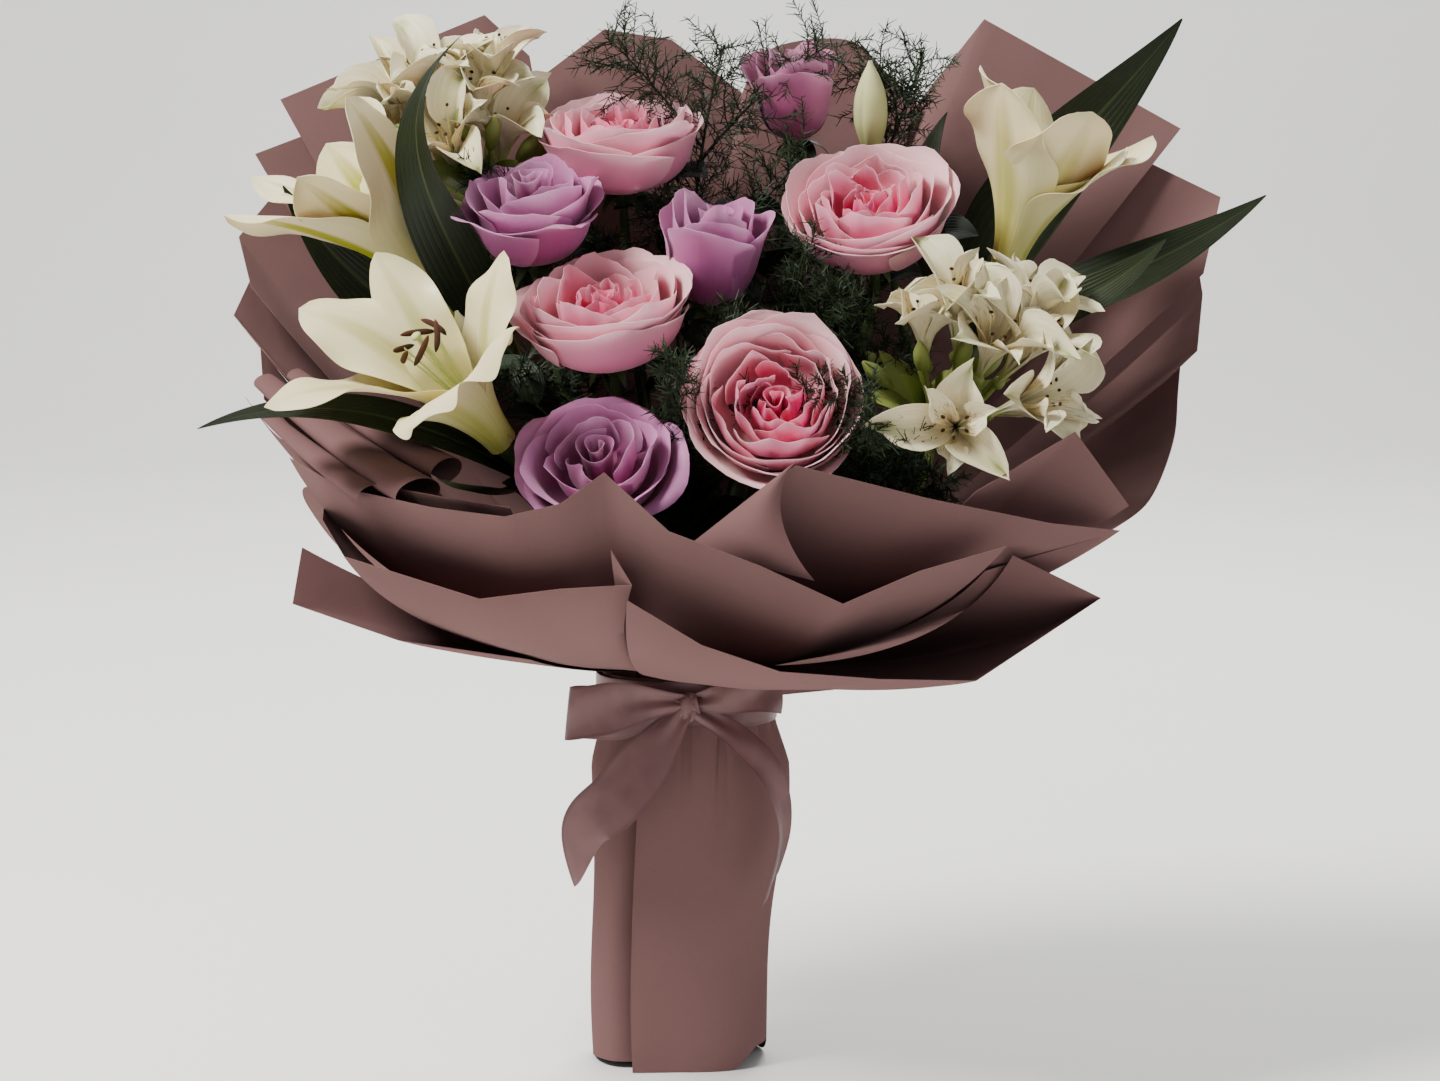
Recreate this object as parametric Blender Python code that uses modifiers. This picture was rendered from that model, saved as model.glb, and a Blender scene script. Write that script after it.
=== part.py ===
"""A hand-tied lily bouquet that stands on its cut stems: lilies, garden roses, alstroemeria and
asparagus fern, gathered in pleated paper sheets and tied with a ribbon bow.

The origin is the middle of the cut stem ends, on the surface that the bouquet stands on.
+Z is up, -Y is the front, and +X is to the right as seen from the front. Sizes are in
millimetres where a name says so, and mm() turns them into the scene's metres.
"""

import math
import random

import bmesh
import bpy
from mathutils import Matrix, Vector
from mathutils.bvhtree import BVHTree

# Driving dimensions, in millimetres
PETAL_MM = 0.8
LEAF_MM = 0.9
PAPER_MM = 0.6
RIBBON_MM = 0.6
GAP_MM = 0.45
STEM_RADIUS_MM = 3.5
WAIST_Z_MM = 180.0
SHEET_FOOT_Z_MM = 162.0
SHEET_NECK_Z_MM = 198.0
SHEET_NECK_STEP_MM = 0.6
SHEET_FIRST_RADIUS_MM = 21.0
SHEET_STEP_MM = 1.3
SHEET_STRETCH = 1.15
WAIST_X_MM = 4.0
WAIST_Y_MM = 4.0
RIBBON_WIDTH_MM = 22.0
RIBBON_OFF_MM = 1.2
STEM_SPACING_MM = 7.2
STEM_SPREAD = 1.5
STEM_TAPER = 0.62
TIE_MM = 0.9
GOLDEN_ANGLE = math.radians(137.508)

COLOURS = {
    "pink_petal": (0.86, 0.52, 0.55, 0.5),
    "lilac_petal": (0.52, 0.30, 0.50, 0.5),
    "lily_petal": (0.88, 0.85, 0.66, 0.45),
    "alstroemeria_petal": (0.86, 0.84, 0.72, 0.5),
    "anther": (0.16, 0.07, 0.03, 0.8),
    "bud": (0.72, 0.74, 0.42, 0.5),
    "stem": (0.14, 0.22, 0.09, 0.55),
    "leaf": (0.04, 0.09, 0.04, 0.4),
    "fern": (0.05, 0.10, 0.05, 0.6),
    "paper": (0.42, 0.24, 0.24, 0.7),
    "ribbon": (0.36, 0.20, 0.21, 0.4),
    "twine": (0.55, 0.45, 0.28, 0.9),
}


def mm(*values):
    """A point given in millimetres, in metres."""
    return Vector(values) / 1000


def direction(azimuth, elevation):
    """The unit vector at this azimuth from +X and this elevation above the horizon, in degrees."""
    a, e = math.radians(azimuth), math.radians(elevation)
    return Vector((math.cos(a) * math.cos(e), math.sin(a) * math.cos(e), math.sin(e)))


def flower_frame(base, axis, roll=0.0):
    """The matrix that stands a flower's own +Z along axis, at base."""
    turn = axis.to_track_quat("Z", "Y").to_matrix().to_4x4()
    return Matrix.Translation(base) @ turn @ Matrix.Rotation(math.radians(roll), 4, "Z")


def bezier(points, t):
    """The point at t on the Bezier curve of these control points."""
    points = [Vector(p) for p in points]
    while len(points) > 1:
        points = [a.lerp(b, t) for a, b in zip(points, points[1:])]
    return points[0]


def smoothstep(t):
    t = max(0.0, min(1.0, t))
    return t * t * (3 - 2 * t)


# Objects, materials and collections


def clear_scene():
    for obj in list(bpy.data.objects):
        bpy.data.objects.remove(obj, do_unlink=True)


def make_material(name):
    red, green, blue, roughness = COLOURS[name]
    material = bpy.data.materials.new(name)
    material.use_nodes = True
    shader = material.node_tree.nodes["Principled BSDF"]
    shader.inputs["Base Color"].default_value = (red, green, blue, 1.0)
    shader.inputs["Roughness"].default_value = roughness
    shader.inputs["Metallic"].default_value = 0.0
    material.diffuse_color = (red, green, blue, 1.0)
    return material


def collection(name):
    made = bpy.data.collections.get(name) or bpy.data.collections.new(name)
    if made.name not in bpy.context.scene.collection.children:
        bpy.context.scene.collection.children.link(made)
    return made


def link(name, mesh):
    """A new object on the workbench, where pieces wait to be joined."""
    obj = bpy.data.objects.new(name, mesh)
    collection("workbench").objects.link(obj)
    return obj


def evaluated_mesh(obj):
    graph = bpy.context.evaluated_depsgraph_get()
    mesh = bpy.data.meshes.new_from_object(obj.evaluated_get(graph))
    mesh.transform(obj.matrix_world)
    return mesh


# Blades, rods and turned shapes


def bent_grid(place, across, along):
    """A bmesh grid whose every vertex goes to place(u, v), with u from -1 to 1 and v from 0 to 1.
    Edges that meet are joined, as where the grid is rolled into a tube."""
    bm = bmesh.new()
    bmesh.ops.create_grid(bm, x_segments=across, y_segments=along, size=1.0)
    for vert in bm.verts:
        vert.co = place(vert.co.x, (vert.co.y + 1) / 2)
    bmesh.ops.remove_doubles(bm, verts=bm.verts[:], dist=0.00001)
    return bm


def link_bmesh(name, bm):
    mesh = bpy.data.meshes.new(name)
    bm.to_mesh(mesh)
    bm.free()
    return link(name, mesh)


def blade(place, across, along, thickness):
    """A thin curved blade on a bent grid. It is split into triangles before it is thickened, so
    that both faces split alike."""
    bm = bent_grid(place, across, along)
    bmesh.ops.triangulate(bm, faces=bm.faces[:])
    obj = link_bmesh("blade", bm)
    solid = obj.modifiers.new("thickness", "SOLIDIFY")
    solid.thickness = thickness / 1000
    solid.offset = 0
    return obj


def rod(points, radius, taper=1.0, sides=5, level_foot=False):
    """A round rod along the points, as a grid rolled up and capped. Its far end is taper times
    as thick, and a level foot is cut along the surface that the bouquet stands on."""
    points = [Vector(p) for p in points]
    last = len(points) - 1
    span = points[-1] - points[0]
    axes = (Vector((1, 0, 0)), Vector((0, 1, 0)), Vector((0, 0, 1)))
    aside = min(axes, key=lambda axis: abs(axis.dot(span)))

    def place(u, v):
        i = round(v * last)
        ahead = points[min(i + 1, last)] - points[max(i - 1, 0)]
        if level_foot and i == 0:
            ahead = Vector((0, 0, 1))
        across = ahead.cross(aside).normalized()
        other = ahead.cross(across).normalized()
        r = radius / 1000 * (1 + (taper - 1) * v * v)
        return points[i] + r * (across * math.cos(math.pi * u) + other * math.sin(math.pi * u))

    bm = bent_grid(place, sides, last)
    bmesh.ops.holes_fill(bm, edges=bm.edges[:], sides=0)
    bmesh.ops.recalc_face_normals(bm, faces=bm.faces[:])
    return link_bmesh("rod", bm)


def needle(start, heading, length, radius):
    """A three-sided needle from start along heading."""
    bm = bmesh.new()
    bmesh.ops.create_cone(
        bm, cap_ends=True, segments=3, radius1=radius / 1000, radius2=0, depth=length / 1000
    )
    obj = link_bmesh("needle", bm)
    obj.data.transform(flower_frame(start, heading) @ Matrix.Translation((0, 0, length / 2000)))
    return obj


def turned(profile, frame, sides=8):
    """A body of revolution from (radius, height) pairs, listed from its top to its foot."""
    mesh = bpy.data.meshes.new("profile")
    points = [mm(radius, 0, height) for radius, height in profile]
    mesh.from_pydata(points, [(i, i + 1) for i in range(len(points) - 1)], [])
    obj = link("turned", mesh)
    screw = obj.modifiers.new("turn", "SCREW")
    screw.steps = screw.render_steps = sides
    screw.use_merge_vertices = True
    screw.merge_threshold = 0.00001
    solid = evaluated_mesh(obj)
    bpy.data.objects.remove(obj)
    solid.transform(frame)
    return link("turned", solid)


# Joining pieces into one body


def signed_volume(faces):
    return sum(
        f.verts[0].co.dot(f.verts[i].co.cross(f.verts[i + 1].co)) / 6
        for f in faces
        for i in range(1, len(f.verts) - 1)
    )


def keep_largest_shell(mesh):
    """Fills sealed hollows and drops loose scraps, by keeping only the shell that holds most."""
    bm = bmesh.new()
    bm.from_mesh(mesh)
    unseen = set(bm.faces)
    shells = []
    while unseen:
        todo = [unseen.pop()]
        shell = list(todo)
        while todo:
            for edge in todo.pop().edges:
                for face in edge.link_faces:
                    if face in unseen:
                        unseen.remove(face)
                        todo.append(face)
                        shell.append(face)
        shells.append(shell)
    largest = max(shells, key=signed_volume)
    doomed = [face for shell in shells if shell is not largest for face in shell]
    bmesh.ops.delete(bm, geom=doomed, context="FACES")
    bmesh.ops.triangulate(bm, faces=bm.faces[:])
    bm.to_mesh(mesh)
    bm.free()


def fuse(name, pieces, material):
    """Joins the pieces into the one body of a node, which goes into the bouquet's collection."""
    bpy.context.view_layer.update()
    base, others = pieces[0], pieces[1:]
    if others:
        joined = collection("joined")
        for piece in others:
            collection("workbench").objects.unlink(piece)
            joined.objects.link(piece)
        union = base.modifiers.new("join", "BOOLEAN")
        union.operation = "UNION"
        union.operand_type = "COLLECTION"
        union.collection = joined
        union.solver = "MANIFOLD"
    mesh = evaluated_mesh(base)
    for piece in pieces:
        bpy.data.objects.remove(piece)
    keep_largest_shell(mesh)
    mesh.materials.clear()
    mesh.materials.append(bpy.data.materials[material])
    mesh.shade_smooth()
    mesh.set_sharp_from_angle(angle=math.radians(40))
    node = bpy.data.objects.new(name, mesh)
    collection("lily_bouquet").objects.link(node)
    return node


# Stems in the tie

# Each stem's place in the packed bundle, as (column, row) of a hexagonal packing, seen from
# above. A stem that leans to the left at the top has its place on the left of the bundle.
STEM_PLACES = {
    "lily_left_back": (-2, 0),
    "lily_left_front": (-1.5, -1),
    "lily_right": (1.5, 1),
    "rose_pink_top": (-0.5, 1),
    "rose_pink_right": (1, 0),
    "rose_pink_left": (-0.5, -1),
    "rose_pink_front": (0.5, -1),
    "rose_lilac_left": (-1, 0),
    "rose_lilac_middle": (0, 0),
    "rose_lilac_front": (-1, -2),
    "rose_lilac_top": (0.5, 1),
    "alstroemeria_left": (-1.5, 1),
    "alstroemeria_right": (1.5, -1),
}


def stem_place(column, row, spread=1.0):
    """The (x, y) in millimetres of a place in the bundle of stems."""
    x = STEM_SPACING_MM * column * spread
    y = STEM_SPACING_MM * 0.87 * row * spread
    return x, y


def tie_radius():
    """The radius in millimetres of the ring of twine round the packed stems."""
    widest = max(math.hypot(*stem_place(*place)) for place in STEM_PLACES.values())
    return widest + STEM_RADIUS_MM + GAP_MM + TIE_MM


def stem_path(place, head, lean, steps=3):
    """The points of a stem from its cut end, straight up through the tie, to its head.
    lean is the direction in which it meets the head."""
    foot_x, foot_y = stem_place(*place, spread=STEM_SPREAD)
    tie_x, tie_y = stem_place(*place)
    foot = mm(foot_x, foot_y, 0)
    low = mm(WAIST_X_MM + tie_x, WAIST_Y_MM + tie_y, WAIST_Z_MM - 18)
    high = mm(WAIST_X_MM + tie_x, WAIST_Y_MM + tie_y, WAIST_Z_MM + 8)
    below_head = head - lean * (head - high).length * 0.3
    line = (high, high.lerp(head, 0.35) + mm(0, 0, 12), below_head, head)
    return [foot, low] + [bezier(line, i / steps) for i in range(steps + 1)]


# Roses

# name: centre of the bloom in mm, azimuth and elevation of its face, radius and height in mm,
# its layers of petals, and how far it is turned round its axis in degrees
ROSES = {
    "rose_pink_top": ((-27, 20, 437), 262, 66, 37, 40, "garden", 0),
    "rose_pink_right": ((89, -25, 406), 255, 46, 37, 40, "garden", 20),
    "rose_pink_left": ((-32, -60, 362), 245, 50, 38, 40, "garden", 50),
    "rose_pink_front": ((45, -96, 325), 268, 32, 39, 38, "garden", 10),
    "rose_lilac_left": ((-67, -26, 408), 262, 58, 30, 46, "tea", 35),
    "rose_lilac_middle": ((16, -33, 390), 285, 72, 23, 50, "bud", 0),
    "rose_lilac_front": ((-33, -102, 299), 262, 38, 34, 36, "tea", 75),
    "rose_lilac_top": ((56, 38, 462), 250, 76, 20, 46, "bud", 40),
}

# Each layer, from the outside in: petals, half width in degrees, where its petals leave the core
# as shares of the bloom's radius and height, belly and lip as shares of the radius, lip height as
# a share of the height, how far the lip rolls out, in mm, and rows of faces along the petal
ROSE_LAYERS = {
    "garden": (
        (5, 44, 0.10, 0.06, 0.80, 0.96, 0.80, 4.0, 3),
        (3, 58, 0.18, 0.20, 0.56, 0.58, 0.96, 1.0, 2),
    ),
    "tea": (
        (5, 44, 0.10, 0.06, 0.78, 0.98, 0.80, 5.0, 3),
        (3, 58, 0.18, 0.22, 0.54, 0.58, 0.96, 2.5, 2),
    ),
    "bud": (
        (3, 64, 0.10, 0.06, 0.92, 0.98, 0.94, 4.0, 3),
        (2, 76, 0.24, 0.26, 0.64, 0.50, 1.00, 0.5, 2),
    ),
}
ROSE_CORE = ((0, 0.86), (0.30, 0.76), (0.32, 0.20))
ROSE_FOOT_MM = 3.4
SEPAL_MM = 15


def rose_petal(bloom, layer, phi, tuck):
    """The shape of one rose petal: a piece of a cup whose lip rolls outwards. tuck slides one
    edge of it under its neighbour."""
    radius, height = bloom
    half_width, foot, foot_height, belly, lip, lip_height, roll = layer
    cup = (
        (radius * foot, 0, height * foot_height),
        (radius * belly * 0.98, 0, height * foot_height * 0.9),
        (radius * belly * 1.05, 0, height * lip_height * 0.7),
        (radius * lip, 0, height * lip_height),
    )

    def place(u, v):
        t = v * (1 - 0.16 * abs(u) ** 2.5)
        profile = bezier(cup, t)
        out = roll * max(0.0, (t - 0.6) / 0.4) ** 2
        width = math.radians(half_width) * (0.4 + 0.6 * math.sin(math.pi * min(t, 0.7) / 1.4))
        angle = phi + u * width
        r = profile.x + out + tuck * u * t
        return mm(r * math.cos(angle), r * math.sin(angle), profile.z - 0.5 * out)

    return place


def rose_bloom(name, radius, height, kind, turn, frame, material):
    core = [(radius * r, height * h) for r, h in ROSE_CORE]
    core += [(ROSE_FOOT_MM, GAP_MM), (0, GAP_MM)]
    pieces = [turned(core, Matrix.Identity(4), sides=5)]
    for depth, (count, *layer, rows) in enumerate(ROSE_LAYERS[kind]):
        for k in range(count):
            phi = math.radians(turn) + math.tau * k / count + depth * GOLDEN_ANGLE
            pieces.append(blade(rose_petal((radius, height), layer, phi, 2.2), 2, rows, PETAL_MM))
    for piece in pieces:
        piece.matrix_world = frame
    fuse(name, pieces, material)


def rose(name, centre, azimuth, elevation, radius, height, kind, turn):
    axis = direction(azimuth, elevation)
    base = mm(*centre) - axis * height * 0.5 / 1000
    frame = flower_frame(base, axis)
    material = "pink_petal" if "pink" in name else "lilac_petal"
    rose_bloom(name, radius, height, kind, turn, frame, material)
    path = stem_path(STEM_PLACES[name], base - axis * 0.006, axis)
    hip = turned(((0, 0), (5.4, 0), (4.6, -4), (1.8, -9), (0, -9)), frame, 5)
    pieces = [hip, rod(path, STEM_RADIUS_MM, STEM_TAPER, level_foot=True)]
    for k in range(5):
        outwards = direction(72 * k + 20, -28)
        sepal = needle(outwards * 0.002 - mm(0, 0, 1.2), outwards, SEPAL_MM, 1.9)
        sepal.matrix_world = frame
        pieces.append(sepal)
    fuse(name + "_stem", pieces, "stem")


# Lilies

# name: base of the trumpet in mm, azimuth and elevation of its axis, how far up and how far out
# its anthers stand in mm, and for each of the six tepals its place round the axis, how far its
# tip leans from the axis, the heading in which the tip points, all in degrees from the axis, and
# its length in mm
LILIES = {
    "lily_left_back": (
        (-99, 8, 360), 188, 48, (58, 4.5),
        ((112, 15, 20, 112), (172, 14, 26, 104), (238, 17, 36, 119),
         (285, 24, 44, 121), (345, 22, 36, 104), (50, 16, 30, 104)),
    ),
    "lily_left_front": (
        (-78, -70, 305), 213, 49, (66, 9.5),
        ((146, 20, 34, 103), (202, 24, 60, 106), (256, 38, 76, 112),
         (318, 46, 98, 86), (15, 44, 88, 84), (80, 36, 70, 84)),
    ),
    "lily_right": (
        (153, -5, 380), 359, 74, (56, 7),
        ((74, 22, 36, 95), (130, 26, 36, 84), (196, 28, 46, 84),
         (238, 34, 52, 80), (290, 33, 44, 94), (10, 24, 38, 93)),
    ),
}
TEPAL_WIDTHS_MM = (17.0, 13.0)
TRUMPET_FOOT_MM = (3.4, 6.6)


def tepal_line(foot, lean, heading, length, v):
    """The radius, height and angle at v on a tepal's centre line: it leaves the foot along the
    axis and ends at its tip, pointing in the heading."""
    lean, heading = math.radians(lean), math.radians(heading)
    tip = Vector((foot * math.cos(lean) + length * math.sin(lean), 0, 1.5 + length * math.cos(lean)))
    before = tip - Vector((math.sin(heading), 0, math.cos(heading))) * length * 0.35
    line = ((foot, 0, 1.5), (foot + 0.5, 0, 1.5 + length * 0.33), before, tip)
    here, ahead = bezier(line, v), bezier(line, v + 0.01)
    return here.x, here.z, math.atan2(ahead.x - here.x, ahead.z - here.z)


def tepal(foot, lean, heading, length, phi, half_width, wave):
    """The shape of one tepal of a trumpet: cupped round the axis, with a waved margin."""

    def place(u, v):
        r, z, angle = tepal_line(foot, lean, heading, length, v)
        swell = 0.22 + 0.78 * math.sin(math.pi * v**0.9) ** 0.8
        taper = 1 - 0.94 * v**6
        bend = max(r, foot) * (1 + 1.2 * v * v)
        sideways = u * min(half_width * swell * taper, 1.02 * bend)
        turn = sideways / bend
        inwards = bend * (1 - math.cos(turn))
        beat = math.sin(9 * v + 2 * phi + (2 if u > 0 else 0))
        ripple = wave * u * u * beat * smoothstep(v * 2 - 0.5)
        out = r - (inwards - ripple) * math.cos(angle)
        up = z + (inwards - ripple) * math.sin(angle)
        side = bend * math.sin(turn)
        return mm(
            out * math.cos(phi) - side * math.sin(phi),
            out * math.sin(phi) + side * math.cos(phi),
            up,
        )

    return place


def trumpet(name, tepals, frame):
    """A lily bloom: three wide inner tepals between three narrower outer ones."""
    core = ((0, 12), (3.0, 12), (7.4, 3), (4.6, GAP_MM), (0, GAP_MM))
    pieces = [turned(core, Matrix.Identity(4), 6)]
    for k, (place, lean, heading, length) in enumerate(tepals):
        foot, half_width = TRUMPET_FOOT_MM[k % 2], TEPAL_WIDTHS_MM[k % 2]
        shape = tepal(foot, lean, heading, length, math.radians(place), half_width, 2.2)
        pieces.append(blade(shape, 2, 4, PETAL_MM))
    for piece in pieces:
        piece.matrix_world = frame
    fuse(name, pieces, "lily_petal")


def stamens(name, reach, spread, frame):
    """Six filaments with long anthers round a pistil, which stand on a small boss in the throat."""
    foot = 12 + GAP_MM
    boss = ((0, foot + 3), (2.6, foot + 3), (2.6, foot), (0, foot))
    pistil = [mm(0, 0, foot + 1), mm(1, 0, reach * 1.04)]
    pieces = [turned(boss, Matrix.Identity(4), 6), rod(pistil, 1.0, 1.3, 3)]
    for k in range(6):
        phi = math.tau * (k + 0.5) / 6
        outwards = Vector((math.cos(phi), math.sin(phi), 0))
        tip = mm(0, 0, reach) + outwards * spread / 1000
        pieces.append(rod([mm(0, 0, foot + 1.5) + outwards * 0.0014, tip], 0.7, 0.9, 3))
        along = Vector((-math.sin(phi), math.cos(phi), 0.6)).normalized()
        pieces.append(rod([tip - along * 0.0055, tip + along * 0.0055], 1.4, 1, 3))
    for piece in pieces:
        piece.matrix_world = frame
    fuse(name, pieces, "anther")


# Leaves

# stem name: its leaves, each as how far up the last part of the stem it grows, the other three
# control points of its centre line in mm, its half width in mm, and the azimuth and elevation
# that its upper face looks to at its foot and at its tip
LEAVES = {
    "lily_left_back": (
        (0.80, ((-106, -46, 396), (-156, -46, 446), (-104, -30, 488)), 19, (262, 12), (190, 20)),
        (0.70, ((-110, 30, 360), (-150, 42, 382), (-182, 28, 420)), 13, (262, 30), (240, 40)),
    ),
    "lily_left_front": (
        (0.66, ((-106, -80, 318), (-160, -88, 336), (-214, -96, 318)), 9, (250, 78), (230, 70)),
        (0.80, ((-72, -92, 282), (-90, -112, 288), (-104, -132, 298)), 10, (90, 60), (60, 60)),
    ),
    "lily_right": (
        (0.70, ((140, 50, 400), (200, 66, 442), (240, 34, 498)), 21, (265, 10), (290, 15)),
        (0.85, ((176, -22, 366), (222, -16, 380), (276, -4, 416)), 15, (275, 48), (285, 35)),
        (0.75, ((160, -46, 358), (196, -46, 370), (226, -32, 397)), 12, (268, 40), (280, 35)),
        (0.60, ((110, 14, 404), (114, 22, 428), (128, 26, 454)), 9, (250, 12), (240, 15)),
    ),
}


def leaf(points, half_width, face_at_foot, face_at_tip):
    """The shape of a lance-shaped leaf, a little folded along its rib. Its upper face turns from
    one heading to the other along its length."""

    def place(u, v):
        centre = bezier(points, v)
        ahead = (bezier(points, v + 0.01) - centre).normalized()
        face = direction(*face_at_foot).lerp(direction(*face_at_tip), v)
        sideways = ahead.cross(face).normalized()
        normal = sideways.cross(ahead).normalized()
        width = half_width * max(0.05, math.sin(math.pi * v**0.8) ** 0.75)
        fold = 0.18 * abs(u) * width
        return centre + (sideways * u * width + normal * fold) / 1000

    return place


# name: base in mm, azimuth and elevation of its axis, length and radius in mm, and the lily whose
# stem carries it
BUDS = {
    "lily_bud_right": ((92, 26, 434), 265, 72, 46, 8.0, "lily_right"),
    "lily_bud_left": ((-88, -46, 326), 232, 64, 44, 7.0, "lily_left_front"),
}


def bud(name, base, azimuth, elevation, length, radius):
    frame = flower_frame(mm(*base), direction(azimuth, elevation))
    shares = ((0, 1), (0.34, 0.93), (0.85, 0.66), (1, 0.42), (0.72, 0.12), (0.4, 0.0))
    profile = [(radius * r, GAP_MM + length * h) for r, h in shares] + [(0, GAP_MM)]
    fuse(name, [turned(profile, frame, 6)], "bud")


def lily(name, base, azimuth, elevation, anthers, tepals):
    axis = direction(azimuth, elevation)
    frame = flower_frame(mm(*base), axis)
    trumpet(name, tepals, frame)
    stamens(name + "_stamens", *anthers, frame)
    path = stem_path(STEM_PLACES[name], mm(*base) - axis * 0.012, axis)
    hub = turned(((0, 0), (4.4, 0), (4.4, -3), (2.6, -16), (0, -16)), frame, 6)
    pieces = [hub, rod(path, STEM_RADIUS_MM, 0.8, level_foot=True)]
    for height, points, half_width, foot, tip in LEAVES[name]:
        start = path[-2].lerp(path[-1], height)
        line = [start, *(mm(*p) for p in points)]
        pieces.append(blade(leaf(line, half_width, foot, tip), 2, 5, LEAF_MM))
    for bud_base, bud_azimuth, bud_elevation, _, _, carrier in BUDS.values():
        if carrier == name:
            knee = mm(*bud_base) - direction(bud_azimuth, bud_elevation) * 0.018
            pieces.append(rod([path[-2], knee, mm(*bud_base)], 1.9, 1, 4))
    fuse(name + "_stem", pieces, "leaf")


# Alstroemeria

# name: top of the stem in mm, and for each floret its base in mm, azimuth, elevation and length
ALSTROEMERIA = {
    "alstroemeria_left": (
        (-94, 34, 408),
        (
            ((-138, 42, 440), 232, 56, 38),
            ((-116, 46, 454), 262, 72, 38),
            ((-88, 48, 458), 288, 74, 36),
            ((-86, 42, 428), 292, 52, 34),
            ((-108, 24, 430), 248, 40, 36),
        ),
    ),
    "alstroemeria_right": (
        (118, -44, 310),
        (
            ((108, -66, 342), 235, 36, 38),
            ((130, -54, 356), 275, 66, 38),
            ((156, -60, 338), 320, 46, 38),
            ((154, -74, 316), 330, 12, 38),
            ((130, -82, 312), 268, 8, 38),
        ),
    ),
}


def floret(base, azimuth, elevation, length, turn):
    """One floret: a funnel whose rim is cut into six pointed lobes, on a small throat."""

    def place(u, v):
        phi = math.pi * u
        lobe = round((u + 1) * 6) % 2
        t = v if lobe else min(v, 0.62)
        r = length * (0.32 * t + 0.30 * t * t)
        z = length * (0.98 * t - 0.22 * t * t)
        return mm(r * math.cos(phi), r * math.sin(phi), z)

    funnel = blade(place, 12, 2, PETAL_MM)
    funnel.matrix_world = flower_frame(mm(*base), direction(azimuth, elevation), turn)
    return funnel


def alstroemeria(name, top, florets):
    top = mm(*top)
    pieces = [turned(((0, 3), (3, 2), (3, -3), (0, -4)), flower_frame(top, Vector((0, 0, 1))), 6)]
    for i, (base, azimuth, elevation, length) in enumerate(florets):
        pieces.append(floret(base, azimuth, elevation, length, 17 * i))
        knee = top.lerp(mm(*base), 0.7) + mm(0, 0, -4)
        pieces.append(rod([top, knee, mm(*base) + direction(azimuth, elevation) * 0.003], 1.3, 1, 3))
    fuse(name, pieces, "alstroemeria_petal")
    path = stem_path(STEM_PLACES[name], top - mm(0, 0, 4 + GAP_MM), Vector((0, 0, 1)))
    fuse(name + "_stem", [rod(path, STEM_RADIUS_MM, STEM_TAPER, level_foot=True)], "stem")


# Asparagus fern

# name: azimuth of its stalk at the edge of the bundle of stems, the rest of the spray's centre
# line as control points in mm, the side branches, each as where it leaves the centre line and
# its last two control points in mm, its reach to the sides in mm, and its seed
FERNS = {
    "fern_top": (
        90, ((-2, 28, 340), (6, 36, 430), (22, 28, 486)), ((0.62, (4, 26, 410), (-6, 4, 402)),), 24, 3,
    ),
    "fern_top_right": (
        60, ((60, 50, 320), (96, 60, 420), (118, 50, 480)), ((0.6, (70, 40, 390), (66, 14, 410)),), 22, 5,
    ),
    "fern_right": (
        0, ((40, -4, 300), (52, -26, 350), (60, -58, 396)), ((0.7, (72, -44, 356), (82, -66, 370)),), 20, 7,
    ),
    "fern_left": (
        120, ((-30, 36, 300), (-56, 20, 380), (-92, -6, 428)), ((0.5, (-36, 10, 360), (-34, -8, 398)),),
        18, 11,
    ),
    "fern_front": (
        270, ((-4, -50, 260), (6, -84, 310), (0, -116, 350)), ((0.6, (10, -66, 340), (30, -64, 366)),),
        18, 13,
    ),
    "fern_front_right": (300, ((28, -28, 256), (92, -84, 270), (108, -112, 316)), (), 18, 19),
}
FERN_NEEDLES = 10
FERN_STALK_MM = 1.3


def fern(name, azimuth, points, branches, reach, seed, obstacles):
    """A spray of asparagus fern: a slim stalk with needles on all sides. A needle that would
    touch a bloom, a leaf or the paper is left out, as it would lie bent aside there."""
    draw = random.Random(seed)
    out = direction(azimuth, 0) * (tie_radius() - TIE_MM - GAP_MM - FERN_STALK_MM) / 1000
    high = mm(WAIST_X_MM, WAIST_Y_MM, WAIST_Z_MM + 8) + out
    line = [high, *(mm(*p) for p in points)]
    stalk = [out * STEM_SPREAD, high - mm(0, 0, 26)] + [bezier(line, i / 4) for i in range(5)]
    pieces = [rod(stalk, FERN_STALK_MM, 0.5, 4, level_foot=True)]
    lines = [(line, 0.5, 1.0)]
    for share, middle, tip in branches:
        branch = [bezier(line, share), mm(*middle), mm(*tip)]
        pieces.append(rod([bezier(branch, i / 3) for i in range(4)], FERN_STALK_MM * 0.6, 0.6, 3))
        lines.append((branch, 0.3, 0.5))
    for line, first, share in lines:
        count = round(FERN_NEEDLES * share)
        for i in range(count):
            t = first + (1 - first) * (i + 0.5) / count
            start = bezier(line, t)
            ahead = (bezier(line, t + 0.01) - start).normalized()
            side = ahead.orthogonal().normalized()
            side.rotate(Matrix.Rotation(i * GOLDEN_ANGLE + draw.uniform(-0.3, 0.3), 3, ahead))
            heading = (side + ahead * draw.uniform(0.5, 0.9)).normalized()
            length = reach * draw.uniform(0.7, 1.0) * (1.15 - 0.5 * t)
            if all(clear_of(tree, start, start + heading * length / 1000) for tree in obstacles):
                pieces.append(needle(start, heading, length, 0.6))
    fuse(name, pieces, "fern")


def clear_of(tree, start, tip, margin=0.0015):
    """Whether the straight line from start to tip keeps the margin from the tree's surface."""
    steps = 6
    for i in range(steps + 1):
        hit = tree.find_nearest(start.lerp(tip, i / steps), margin)
        if hit[0] is not None:
            return False
    return True


# Paper

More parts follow.
